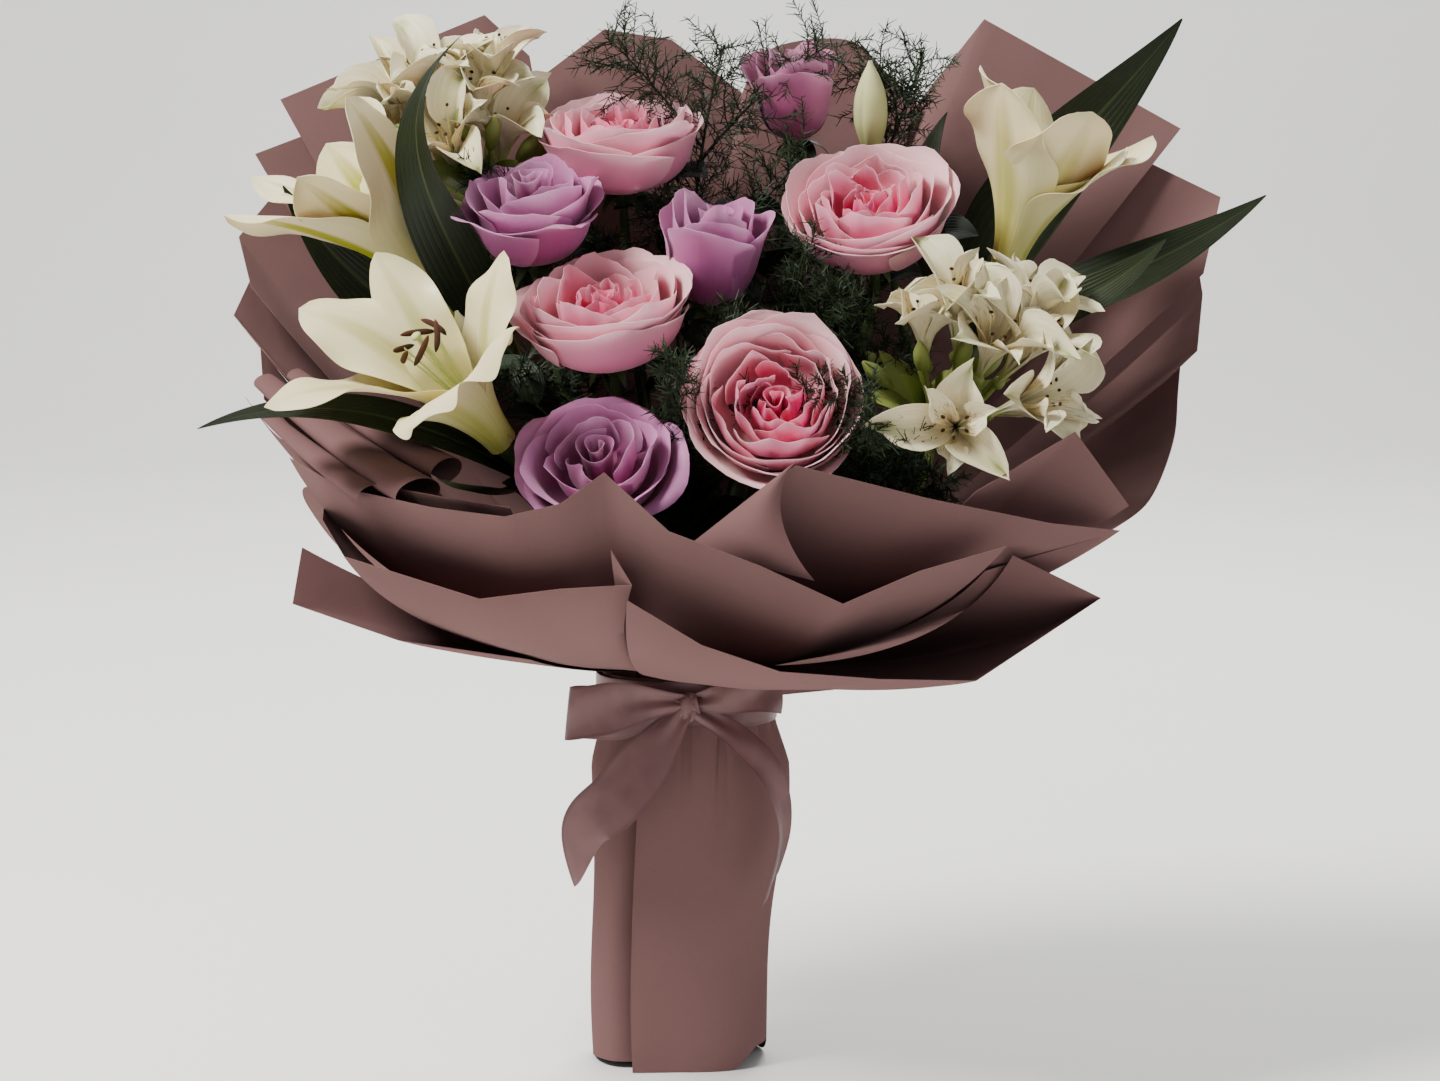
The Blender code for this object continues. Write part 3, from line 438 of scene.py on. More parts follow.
def plant_finish(name, low, high, roughness, grain=300.0):
    """A plain plant surface whose colour goes from low to high along it, mottled."""
    finish = Finish(name, Specular_IOR_Level=0.3)
    along, tone = finish.place("Y"), finish.place("Z")
    mottle = finish.spots(grain, 4.0)
    share = (along * 0.6 + mottle * 0.6 + tone - 0.3).clamped()
    relief = mottle + finish.spots(grain * 6, 2.0) * 0.4
    colour = finish.mix(share, low, high)
    return finish.surface(colour, mottle * 0.2 + (roughness - 0.1), relief, 0.2, 0.4)


def paper_finish(name):
    """Matt wrapping paper: an even dusty rose, with the haze and faint dents of handling, and
    painted shade: the back face of each sheet is darker.
    """
    finish = Finish(name, Specular_IOR_Level=0.0, Sheen_Weight=0.02, Sheen_Roughness=0.6)
    haze = finish.spots(9.0, 3.0)
    fibre = finish.spots(700.0, 4.0)
    share = (haze * 0.9 + fibre * 0.3 - 0.1).clamped()
    colour = finish.mix(share, (105, 78, 77), (123, 93, 91))
    # Painted shade: the back face of every sheet is mixed towards a darker rose, standing in for
    # the shade between the sheets
    colour = finish.mix(finish.side() * 0.35, colour, (96, 68, 68))
    dents = finish.spots(26.0, 2.0, distortion=0.6)
    return finish.surface(colour, fibre * 0.15 + 0.64, dents * 3 + fibre * 0.12, 0.5, 0.5)


def ribbon_finish(name):
    """Satin ribbon: fine ribs across, a woven edge and a soft lengthwise sheen."""
    finish = Finish(name, Specular_IOR_Level=0.3, Sheen_Weight=0.15, Sheen_Roughness=0.35,
                    Anisotropic=0.4)
    across, along = finish.place("X"), finish.place("Y")
    haze = finish.spots(60.0, 2.0)
    edge = (abs(across) - 0.86).clamped(0, 0.06)
    colour = finish.mix(haze.clamped(0.3, 0.7), (100, 70, 71), (118, 85, 85))
    colour = finish.mix(edge * 0.5, colour, (88, 60, 60))
    relief = (along * 1500).wave() * 0.5 + edge
    return finish.surface(colour, haze * 0.12 + 0.3, relief, 0.12, 0.4)


def twine_finish(name):
    finish = Finish(name, Specular_IOR_Level=0.1)
    strands = (finish.place("X") * 9 + finish.place("Y") * 500).wave()
    colour = finish.mix(strands, (120, 96, 62), (186, 160, 116))
    return finish.surface(colour, finish.spots(900.0) * 0.2 + 0.7, strands, 0.4, 0.7)


PINK = rose_finish("pink_rose_petal", (226, 26, 112), (242, 122, 166), (238, 184, 192),
                   (226, 200, 184))
LILAC = rose_finish("lilac_rose_petal", (112, 20, 72), (166, 72, 132), (198, 124, 174),
                    (150, 58, 106))
MAUVE = rose_finish("mauve_bud_petal", (120, 28, 76), (162, 72, 116), (186, 106, 146),
                    (146, 62, 98))
LILY = tepal_finish("lily_tepal", (226, 214, 168), (196, 190, 90), (160, 160, 40))
FLORET = alstroemeria_finish("alstroemeria_tepal")
LEAF = leaf_finish("lily_leaf", (18, 25, 12), (42, 52, 25))
TWIG_LEAF = leaf_finish("twig_leaf", (18, 28, 18), (40, 56, 32))
STEM = plant_finish("rose_stem", (48, 62, 38), (84, 100, 58), 0.5)
BUD = plant_finish("lily_bud", (176, 182, 112), (222, 218, 176), 0.42, 90.0)
GREEN_BUD = plant_finish("green_bud", (92, 112, 50), (150, 160, 84), 0.45, 120.0)
FERN = plant_finish("fern_needle", (17, 29, 15), (44, 62, 33), 0.6)
FILAMENT = plant_finish("lily_filament", (150, 164, 92), (196, 200, 140), 0.45)
ANTHER = plant_finish("anther_pollen", (44, 24, 14), (86, 46, 22), 0.85, 900.0)
PAPER = paper_finish("wrapping_paper")
RIBBON = ribbon_finish("satin_ribbon")
TWINE = twine_finish("twine")


# Stems in the tie

# Each stem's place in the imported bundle, as (column, row) of a hexagonal packing
STEM_PLACES = {
    "lily_left_back": (-2, 0),
    "lily_left_front": (-1.5, -1),
    "lily_right": (1.5, 1),
    "rose_pink_top": (-0.5, 1),
    "rose_pink_right": (1, 0),
    "rose_pink_left": (-0.5, -1),
    "rose_pink_front": (0.5, -1),
    "rose_lilac_left": (-1, 0),
    "rose_lilac_middle": (0, 0),
    "rose_lilac_front": (-1, -2),
    "rose_lilac_top": (0.5, 1),
    "alstroemeria_left": (-1.5, 1),
    "alstroemeria_right": (1.5, -1),
}
ROW_SHARE = 0.87


def add_stem(skin, name, head, lean, tip_share=0.62):
    """A stem from its cut foot through the tie to its head. Gives the control points of its last
    part, from the tie up."""
    column, row = STEM_PLACES[name]
    aside = np.array((STEM_SPACING_MM * column, STEM_SPACING_MM * ROW_SHARE * row, 0))
    low = aside + WAIST_MM - UP * TIE_DROP_MM
    high = aside + WAIST_MM + UP * TIE_RISE_MM
    below_head = head - lean * np.linalg.norm(head - high) * 0.3
    line = (high, high + (head - high) * 0.35 + (0, 0, 12), below_head, head)
    foot = aside * STEM_SPREAD
    points = np.concatenate(([foot], [foot + (low - foot) * 0.5], [low], curve(line, 25)))
    share = np.linspace(0, 1, len(points)) ** 2
    skin.rods(points[None], STEM_MM * (1 - (1 - tip_share) * share), 10)
    return line


# Roses

# name: centre of the bloom, azimuth and elevation of its face, radius, height, kind and turn
ROSES = {
    "rose_pink_top": ((-27, 20, 437), 262, 76, 37, 40, "garden", 0),
    "rose_pink_right": ((89, -25, 406), 258, 54, 37, 40, "garden", 20),
    "rose_pink_left": ((-32, -60, 362), 255, 66, 38, 40, "garden", 50),
    "rose_pink_front": ((45, -96, 325), 268, 32, 39, 38, "garden", 10),
    "rose_lilac_left": ((-67, -26, 408), 262, 68, 30, 46, "tea", 35),
    "rose_lilac_middle": ((16, -33, 390), 285, 72, 23, 50, "bud", 0),
    "rose_lilac_front": ((-33, -102, 299), 262, 46, 34, 36, "tea", 75),
    "rose_lilac_top": ((56, 38, 462), 250, 76, 20, 46, "bud", 40),
}

# Each layer from the outside in: petals, half width in degrees, foot out and up, belly, lip and
# lip height as shares of the bloom's radius and height, the roll of its lip in degrees and mm,
# and its tone
ROSE_LAYERS = {
    "garden": (
        (3, 78, 0.10, 0.03, 0.92, 0.98, 0.85, 125, 8.5, 0.00),
        (4, 64, 0.10, 0.05, 0.88, 0.92, 0.93, 110, 7.5, 0.03),
        (4, 62, 0.12, 0.08, 0.80, 0.80, 0.97, 85, 6.0, 0.14),
        (5, 52, 0.20, 0.30, 0.68, 0.64, 0.97, 60, 4.0, 0.40),
        (4, 60, 0.20, 0.44, 0.54, 0.49, 0.95, 50, 3.0, 0.66),
        (4, 58, 0.16, 0.50, 0.40, 0.34, 0.93, 40, 2.5, 0.86),
        (3, 66, 0.12, 0.50, 0.27, 0.20, 0.90, 25, 1.5, 1.00)),
    "tea": (
        (4, 62, 0.10, 0.03, 0.90, 0.98, 0.74, 150, 11, 0.02),
        (4, 60, 0.10, 0.05, 0.82, 0.84, 0.90, 140, 9, 0.10),
        (3, 68, 0.16, 0.24, 0.68, 0.64, 0.97, 115, 6, 0.26),
        (3, 70, 0.16, 0.40, 0.50, 0.44, 1.00, 80, 4, 0.42)),
    "bud": (
        (3, 68, 0.10, 0.04, 0.94, 0.94, 0.93, 130, 7.5, 0.04),
        (3, 70, 0.12, 0.06, 0.80, 0.74, 0.99, 100, 5, 0.20),
        (3, 72, 0.14, 0.10, 0.62, 0.54, 1.00, 60, 3, 0.40)),
}

# The scroll in the middle: its radius and height as shares of the bloom's, its turns and tone
ROSE_SCROLLS = {
    "garden": (0.15, 0.86, 1.6, 1.0),
    "tea": (0.30, 0.98, 2.0, 0.7),
    "bud": (0.36, 0.98, 1.8, 0.7),
}
HIP_PROFILE_MM = ((0.3, -9.2), (1.8, -9), (3.6, -6.5), (5.0, -3.4), (5.2, -1.2), (4.0, -0.3))
SEPAL_MM = ((2.5, 0, -1.0), (9, 0, -0.8), (13, 0, -5), (14.5, 0, -9.5))


def rose_petal(radius, height, layer, phi, draw):
    """One petal: a piece of a cup whose lip rolls outwards, most at its corners. The inner ones
    wave more, as they stand crowded."""
    half_width, foot, foot_up, belly, lip, lip_up, roll, roll_mm, tone = layer
    cup = (
        (radius * foot, 0, height * foot_up),
        (radius * belly, 0, height * foot_up * 0.9),
        (radius * belly * 1.06, 0, height * lip_up * 0.62),
        (radius * lip, 0, height * lip_up),
    )
    roll = math.radians(roll) * draw.uniform(0.7, 1.15)
    lean, point = draw.uniform(-0.35, 0.35), draw.uniform(0.0, 0.10)
    crowded = smoothstep((tone - 0.12) * 3)
    tuck = draw.uniform(0.8, 2.2) + 2.2 * crowded
    spread = draw.uniform(0.94 - 0.06 * crowded, 1.03 + 0.06 * crowded)
    rise = draw.uniform(0.91 - 0.04 * crowded, 1.03)
    phases = draw.uniform(0, math.tau, 5)

    def place(u, v):
        t = v * (1 - 0.20 * np.abs(u) ** 2.4 + point * hump(u - lean, 0.28))
        profile = bezier(cup, t)
        widening = 0.38 + 0.62 * np.sin(math.pi / 2 * np.minimum(t / 0.72, 1))
        bent = roll * (0.5 + 0.5 * np.abs(u + lean))
        s = np.clip((t - 0.66) / 0.34, 0, 1.1)
        out = roll_mm / bent * (1 - np.cos(bent * s))
        drop = roll_mm * s - roll_mm / bent * np.sin(bent * s)
        flutter = np.sin(3.0 * u + phases[0]) + 0.6 * np.sin(7 * u + phases[1])
        fold = crowded * (np.sin(3.6 * u + phases[4]) + 0.6 * np.sin(8 * u + phases[2])) * t * t
        frill = 0.22 * np.sin(16 * u + phases[2]) + 0.14 * np.sin(29 * u + phases[3])
        wave = flutter * t**4 * 1.1 + frill * t**8 + fold * 1.5
        r = profile[..., 0] * spread + out + wave + tuck * u * t
        z = profile[..., 2] * rise - drop + wave * 0.4 + frill * t**8
        return polar(r, phi + u * (math.radians(half_width) * widening), z)

    return place


def rose_scroll(radius, height, turns, phi, ruffle):
    """The tight scroll of unopened petals in a rose's heart."""

    def place(u, v):
        share = (u + 1) / 2
        angle = phi + share * turns * math.tau
        r = radius * (1 - 0.86 * share) * (0.72 + 0.28 * v) + ruffle * v**3 * np.sin(3 * angle)
        lip = np.clip((v - 0.85) / 0.15, 0, 1) ** 2
        z = height * (0.35 + 0.65 * v) - height * 0.06 * (1 - share) + 0.6 * np.sin(2.3 * angle) * v
        return polar(r + lip * 0.9, angle, z)

    return place


def add_bloom(skin, radius, height, kind, turn, stand, draw):
    across, along = GRIDS["rose"]
    for depth, (count, *layer) in enumerate(ROSE_LAYERS[kind]):
        for k in range(count):
            phi = math.radians(turn) + math.tau * k / count + depth * GOLDEN_ANGLE
            phi = phi + draw.uniform(-0.16, 0.16)
            place = rose_petal(radius, height, layer, phi, draw)
            tone = layer[-1] + draw.uniform(-0.03, 0.05)
            skin.blade(place, (across, along - depth), PETAL_MM, tone, stand)
    reach, top, turns, tone = ROSE_SCROLLS[kind]
    scroll = rose_scroll(radius * reach, height * top, turns, math.radians(turn), 0.5)
    skin.blade(scroll, GRIDS["scroll"], PETAL_MM, tone, stand)


def add_rose_hip(skin, stand):
    skin.lathe(HIP_PROFILE_MM, 16, stand=stand)
    for k in range(5):
        phi = math.radians(72 * k + 20)

        def sepal(u, v, phi=phi):
            width = 3.0 * np.sin(math.pi * np.clip(v * 0.86 + 0.14, 0, 1)) ** 0.7 * (1 - v * 0.55)
            line = bezier(SEPAL_MM, v)
            return round_axis(phi, line[..., 0], u * width, line[..., 2] + 0.25 * width * np.abs(u))

        skin.blade(sepal, GRIDS["sepal"], PETAL_MM, 0.0, stand)


def make_rose(name, centre, azimuth, elevation, radius, height, kind, turn):
    draw = np.random.default_rng(len(name) * 7 + radius)
    axis = direction(azimuth, elevation)
    base = np.array(centre) - axis * height * 0.5
    stand = flower_frame(base, axis)
    bloom = Skin()
    add_bloom(bloom, radius, height, kind, turn, stand, draw)
    colour = "pink" if "pink" in name else "lilac"
    finish = MAUVE if name == "rose_lilac_top" else {"pink": PINK, "lilac": LILAC}[colour]
    bloom.piece(name + "_petals", finish, colour + "_petal", name)
    green = Skin()
    add_rose_hip(green, stand)
    add_stem(green, name, base - axis * 6, axis)
    green.piece(name + "_stalk", STEM, "stem", name + "_stem")


# Lilies

# name: base of the trumpet, azimuth and elevation of its axis, how far up and out its anthers
# stand, the strength of its ribs' colour, and for each tepal its place round the axis, the lean
# of its tip, the heading in which the tip points, its length and its half width
LILIES = {
    "lily_left_back": (
        (-99, 8, 360), 188, 48, (58, 4.5), 1.3,
        ((112, 15, 20, 112, 23), (172, 14, 26, 104, 24), (238, 17, 36, 119, 21),
         (285, 24, 44, 121, 22), (332, 17, 22, 106, 21), (44, 15, 4, 117, 26))),
    "lily_left_front": (
        (-78, -70, 305), 213, 49, (66, 9.5), 0.4,
        ((146, 20, 34, 103, 17), (202, 24, 60, 108, 22), (254, 38, 76, 112, 23),
         (318, 46, 98, 86, 18), (15, 44, 88, 86, 15), (80, 36, 66, 86, 18))),
    "lily_right": (
        (153, -5, 380), 359, 74, (56, 7), 0.55,
        ((74, 22, 36, 95, 31), (138, 23, 26, 90, 25), (214, 18, 6, 86, 31), (262, 25, 30, 78, 24),
         (290, 33, 44, 94, 29), (10, 24, 38, 93, 24))),
}
# The inner and the outer tepals: how far out they start, and the share of the ribs' colour
TRUMPET_FOOT_MM = (3.4, 6.6)
RIB_SHARES = (0.85, 1.0)
STAMEN_FOOT_MM = 12.5
ANTHER_HALF_MM = 8.0
STIGMA_MM = ((0.8, -0.6), (2.2, 0), (2.6, 1.2), (1.6, 2.2), (0.3, 2.0))
RECEPTACLE_MM = ((4.4, 0.5), (6.4, 2), (6.0, 6), (3.0, 12))
STALK_END_MM = ((1.0, -16.5), (2.6, -16), (3.4, -9), (4.4, -3), (4.4, -0.6), (3.6, 0))


def tepal(foot, lean, heading, length, phi, half_width, twist, recurve):
    """One tepal of a trumpet: cupped round the axis, with a waved margin and a sunken rib. twist
    turns its end round its rib, in degrees, and recurve bends its margins back, in mm."""
    lean, heading = math.radians(lean), math.radians(heading)
    rise = 1.5 + length * math.cos(lean)
    tip = np.array((foot * math.cos(lean) + length * math.sin(lean), 0, rise))
    before = tip - np.array((math.sin(heading), 0, math.cos(heading))) * length * 0.35
    line = ((foot, 0, 1.5), (foot + 0.5, 0, 1.5 + length * 0.33), before, tip)

    def place(u, v):
        here, ahead = bezier(line, v), bezier(line, v + 0.01)
        r, z = here[..., 0], here[..., 2]
        angle = np.arctan2(ahead[..., 0] - r, ahead[..., 2] - z)
        swell = 0.30 + 0.70 * np.sin(math.pi / 2 * np.minimum(v / 0.56, 1))
        taper = (1 - np.clip((v - 0.56) / 0.44, 0, 1) ** 2.8) ** 0.7
        bend = np.maximum(r, foot) * (1.05 + 1.2 * v * v)
        turn = u * np.minimum(half_width * swell * taper, 1.35 * bend) / bend
        margin = np.abs(u) ** 2.5 * smoothstep(v * 2 - 0.5) * np.minimum(taper * 1.4, 1)
        ripple = 3.8 * np.sin(9 * v + 2 * phi + np.where(u > 0, 2, 0))
        ripple = ripple + 1.7 * np.sin(20 * v + 5 * phi + np.where(u > 0, 1, 4)) + 1.2
        ripple = ripple + recurve * smoothstep(v * 2 - 0.7)
        rib = 1.0 * hump(u, 0.10) * (1 - v) ** 0.5 + 0.35 * hump(np.abs(u) - 0.4, 0.10) * (1 - v)
        flat, deep = bend * np.sin(turn), bend * (1 - np.cos(turn)) - ripple * margin - rib
        roll = math.radians(twist) * smoothstep(v * 1.6 - 0.6)
        side = flat * np.cos(roll) - deep * np.sin(roll)
        inwards = flat * np.sin(roll) + deep * np.cos(roll)
        return round_axis(phi, r - inwards * np.cos(angle), side, z + inwards * np.sin(angle))

    return place


def add_stamens(filaments, anthers, reach, spread, stand):
    """The pistil, and six stamens that stand this far up and out."""
    foot, top = (0, 0, STAMEN_FOOT_MM), reach * 1.04
    filaments.rod((foot, (0.4, 0, reach * 0.6), (1, 0, top)), 9, 1.1, 1.0, 8, stand=stand)
    stigma = stand @ np.array(Matrix.Translation((1, 0, top)))
    filaments.lathe(STIGMA_MM, 9, 0.3, stigma)
    steps = np.linspace(-1, 1, 11)
    for k in range(6):
        phi = math.tau * (k + 0.5) / 6
        out = np.array((math.cos(phi), math.sin(phi), 0))
        tip = np.array((0, 0, reach)) + out * spread
        line = (out * 1.4 + foot, out * 1.6 + (0, 0, reach * 0.5), tip)
        filaments.rod(line, 10, 0.85, 0.45, 6, stand=stand)
        along = unit((-math.sin(phi), math.cos(phi), 0.6))
        pod = tip + along * steps[:, None] * ANTHER_HALF_MM + out * (1 - steps**2)[:, None] * 1.2
        anthers.rods(pod[None], 0.25 + 1.2 * (1 - steps**4), 8, stand=stand)


# Leaves

# stem: its leaves, each as how far up the last part of the stem it grows, its other control
# points, its half width, the way its upper face looks at its foot and at its tip, and its tone
LEAVES = {
    "lily_left_back": (
        (0.80, ((-98, -44, 396), (-146, -46, 446), (-99, -30, 490)), 18, (262, 12), (190, 20), 0),
        (0.70, ((-112, 6, 346), (-156, 4, 368), (-186, 6, 420)), 17, (262, 20), (250, 25), 0)),
    "lily_left_front": (
        (0.66, ((-106, -80, 318), (-160, -88, 336), (-214, -96, 316)), 10, (256, 52), (250, 40), 0),
        (0.80, ((-72, -92, 282), (-90, -112, 288), (-104, -132, 298)), 10, (90, 60), (60, 60), 0)),
    "lily_right": (
        (0.70, ((140, 50, 400), (200, 66, 442), (240, 34, 498)), 21, (265, 10), (290, 15), 0),
        (0.85, ((176, -22, 366), (222, -16, 380), (276, -4, 416)), 15, (275, 48), (285, 35), 0.1),
        (0.75, ((160, -46, 358), (196, -46, 370), (226, -32, 397)), 12, (268, 40), (280, 35), 0.35),
        (0.60, ((110, 14, 404), (114, 22, 428), (128, 26, 454)), 9, (250, 12), (240, 15), 0)),
}
LILY_STEM_STEPS = 3


def leaf(points, half_width, face_at_foot, face_at_tip):
    """A lance-shaped leaf, a little folded along its rib. Its upper face turns from one heading
    to the other along its length."""

    def place(u, v):
        centre = bezier(points, v)
        ahead = unit(bezier(points, v + 0.01) - centre)
        share = v[..., None]
        face = direction(*face_at_foot) * (1 - share) + direction(*face_at_tip) * share
        sideways = unit(np.cross(ahead, face))
        normal = unit(np.cross(sideways, ahead))
        width = half_width * np.maximum(0.03, np.sin(math.pi * v**0.8) ** 0.75) * (1 - 0.3 * v**3)
        fold = 0.18 * np.abs(u) * width - 0.5 * hump(u, 0.06) * (1 - v)
        ripple = 0.05 * width * np.abs(u) ** 2 * np.sin(11 * v + np.where(u > 0, 2, 0))
        return centre + sideways * (u * width)[..., None] + normal * (fold + ripple)[..., None]

    return place


# name: base, azimuth and elevation of its axis, length, radius, and the lily that carries it
BUDS = {
    "lily_bud_right": ((92, 26, 434), 265, 72, 46, 8.0, "lily_right"),
    "lily_bud_left": ((-88, -46, 326), 232, 64, 44, 7.0, "lily_left_front"),
}
# The bud's radius from its foot up, as shares of its largest
BUD_SWELL = (0.36, 0.72, 0.97, 1.0, 0.86, 0.52, 0.10)


def make_bud(name, base, azimuth, elevation, length, radius):
    """A closed lily bud: three tepals that meet in shallow grooves."""

    def place(u, v):
        phi = math.pi * u
        swell = smooth_line([(share, 0, 0) for share in BUD_SWELL], v)[..., 0]
        grooved = swell * radius * (1 - 0.13 * hump(np.sin(1.5 * phi), 0.28) * np.sin(math.pi * v))
        return polar(grooved, phi, 0.5 + length * v)

    skin = Skin()
    stand = flower_frame(base, direction(azimuth, elevation))
    skin.blade(place, GRIDS["lily_bud"], LEAF_MM, 0.0, stand)
    skin.piece(name + "_closed", BUD, "bud", name)


def make_lily(name, base, azimuth, elevation, anthers, rib_tone, tepals):
    axis = direction(azimuth, elevation)
    stand = flower_frame(base, axis)
    bloom = Skin()
    bloom.lathe(RECEPTACLE_MM, 18, 0.2, stand)
    draw = np.random.default_rng(len(name))
    for k, (place, lean, heading, length, half_width) in enumerate(tepals):
        twist, recurve = draw.uniform(-24, 24), draw.uniform(2, 6)
        shape = tepal(TRUMPET_FOOT_MM[k % 2], lean, heading, length, math.radians(place),
                      half_width, twist, recurve)
        bloom.blade(shape, GRIDS["tepal"], TEPAL_MM, rib_tone * RIB_SHARES[k % 2], stand)
    bloom.piece(name + "_trumpet", LILY, "lily_petal", name)
    filaments, pollen = Skin(), Skin()
    add_stamens(filaments, pollen, *anthers, stand)
    filaments.piece(name + "_filaments", FILAMENT, "stem")
    pollen.piece(name + "_anthers", ANTHER, "anther", name + "_stamens")
    green, leaves = Skin(), Skin()
    green.lathe(STALK_END_MM, 16, stand=stand)
    knots = curve(add_stem(green, name, np.array(base) - axis * 12, axis, 0.8), LILY_STEM_STEPS + 1)
    for share, points, half_width, foot, tip, tone in LEAVES[name]:
        start = knots[-2] + (knots[-1] - knots[-2]) * share
        blade = leaf((start, *points), half_width, foot, tip)
        leaves.blade(blade, GRIDS["leaf"], LEAF_MM, tone)
    for bud_base, bud_azimuth, bud_elevation, _, _, carrier in BUDS.values():
        if carrier == name:
            bud_axis = direction(bud_azimuth, bud_elevation)
            knee = np.array(bud_base) - bud_axis * 18
            green.rod((knots[-2], knee, bud_base + bud_axis), 16, 1.9, 1.7, 8)
    green.piece(name + "_stalk", STEM, "stem")
    leaves.piece(name + "_leaves", LEAF, "leaf", name + "_stem")


# Alstroemeria

# name: top of the stem, the seed, the azimuth of its first green bract and the step to the next,
# and for each floret its base, azimuth, elevation and length
ALSTROEMERIA = {
    "alstroemeria_left": (
        (-94, 34, 408), 11, 200, 22,
        (((-134, 46, 430), 244, 70, 42), ((-116, 44, 440), 262, 70, 52),
         ((-92, 50, 448), 284, 76, 48), ((-88, 46, 420), 284, 56, 44),
         ((-106, 32, 424), 262, 44, 44), ((-126, 40, 438), 246, 66, 46),
         ((-100, 42, 440), 300, 62, 44))),
    "alstroemeria_right": (
        (118, -44, 310), 23, 150, 26,
        (((114, -60, 342), 258, 66, 34), ((128, -56, 346), 270, 60, 50),
         ((148, -58, 334), 310, 44, 48), ((143, -70, 320), 315, 16, 45),
         ((127, -77, 315), 264, 5, 45), ((138, -62, 336), 288, 44, 46),
         ((154, -58, 346), 330, 66, 40))),
}
FLORET_GROWTH = 1.1
BRACTS = 9
# The half widths of the outer and the inner tepals
FLORET_HALF_WIDTHS_MM = (12.0, 7.5)
FLORET_FOOT_MM = ((0.8, -5), (2.6, -3.6), (3.2, -1.4), (2.4, 0.6), (1.4, 1.4))
FLORET_BUD_MM = ((0.8, -1), (2.4, 2), (3.8, 8), (3.4, 13), (1.2, 18), (0.2, 19))


def floret_tepal(length, phi, half_width, flare, draw):
    """One tepal of a floret: a narrow claw that widens into a crinkled blade, bent outwards."""
    phase, lift, twist = draw.uniform(0, math.tau), draw.uniform(0.8, 1.12), draw.uniform(-9, 9)
    crinkle, folded = draw.uniform(2.0, 4.4), draw.uniform(0.25, 0.9)
    line = ((1.2, 0, 0.5), (length * 0.08, 0, length * 0.50),
            (length * 0.28 * flare, 0, length * 0.84 * lift),
            (length * 0.60 * flare, 0, length * 0.84 * lift))

    def place(u, v):
        here = bezier(line, v)
        width = half_width * (0.14 + 0.86 * smoothstep((v - 0.12) / 0.55))
        width = width * (1 - np.clip((v - 0.68) / 0.32, 0, 1) ** 2.4) ** 0.8
        cup = folded * width * np.abs(u) ** 1.5
        width = width * (1.15 - 0.35 * folded)
        ripple = 1.6 * crinkle * np.sin(8 * v + phase + np.where(u > 0, 1.6, 0)) * u * u * v
        ripple = ripple + 1.8 * np.sin(17 * v + 4 * u + phase) * np.abs(u) * v
        ripple = ripple + 1.4 * np.sin(7 * u + 5 * v + phase) * v
        up = here[..., 2] + cup + ripple * 0.5 - 0.5 * hump(u, 0.12) * v
        return round_axis(phi, here[..., 0] - cup * 0.7 + ripple, u * width + twist * v * v, up)

    return place


def add_floret(petals, dark, stand, length, draw):
    for k in range(6):
        inner = k % 2
        flare = draw.uniform(0.6, 1.0) if inner else draw.uniform(0.75, 1.25)
        half_width = FLORET_HALF_WIDTHS_MM[inner]
        shape = floret_tepal(length, math.tau * k / 6, half_width, flare, draw)
        tone = draw.uniform(0.7, 1.0) if inner else draw.uniform(0.0, 0.2)
        petals.blade(shape, GRIDS["floret"], PETAL_MM, tone, stand)
    for k in range(6):
        phi = math.tau * (k + 0.35) / 6
        out = np.array((math.cos(phi), math.sin(phi), 0))
        reach = length * draw.uniform(0.6, 0.85)
        stamen = (out, out * 1.5 + (0, 0, reach * 0.6), out * 6 + (2, 0, reach))
        line = petals.rod(stamen, 8, 0.42, 0.28, 5, 0.0, stand)
        ends = line[-1] + np.linspace(-1.1, 1.1, 5)[:, None] * out
        dark.rods(ends[None], (0.2, 0.7, 0.8, 0.7, 0.2), 6, stand=stand)


def make_alstroemeria(name, top, seed, first_bract, bract_step, florets):
    top = np.array(top, float)
    draw = np.random.default_rng(seed)
    petals, green, dark = Skin(), Skin(), Skin()
    for i, (base, azimuth, elevation, length) in enumerate(florets):
        axis = direction(azimuth, elevation)
        stand = flower_frame(base, axis, 17 * i)
        add_floret(petals, dark, stand, length * FLORET_GROWTH, draw)
        green.lathe(FLORET_FOOT_MM, 10, 0.1, stand)
        foot = np.array(base) - axis * 4.5
        knee = top + (foot - top) * 0.6 + (0, 0, -6)
        green.rod((top - (0, 0, 2), knee, foot), 12, 1.5, 1.1, 8, 0.1)
    for k in range(BRACTS):
        azimuth = first_bract + bract_step * k
        out = direction(azimuth, draw.uniform(15, 55))
        tip = top + out * draw.uniform(30, 42) + (0, 0, 6)
        knee = top + out * 16 + (0, 0, 10)
        face = (azimuth + draw.uniform(-40, 40), 60)
        blade = leaf((top + (0, 0, 3), knee, tip), draw.uniform(6, 9), face, (azimuth + 60, 20))
        green.blade(blade, GRIDS["bract"], LEAF_MM, draw.uniform(0, 0.4))
        if k % 2 == 0:
            bud_foot = top + out * 22 + (0, 0, 14)
            green.rod((top, top + out * 8 + (0, 0, 10), bud_foot), 8, 0.9, 0.9, 6, 0.1)
            green.lathe(FLORET_BUD_MM, 12, 0.25, flower_frame(bud_foot, out + UP * 0.5))
    petals.piece(name + "_florets", FLORET, "alstroemeria_petal", name)
    dark.piece(name + "_anthers", ANTHER, "anther")
    add_stem(green, name, top - (0, 0, 2), UP)
    green.piece(name + "_stalk", GREEN_BUD, "stem", name + "_stem")


# Asparagus fern

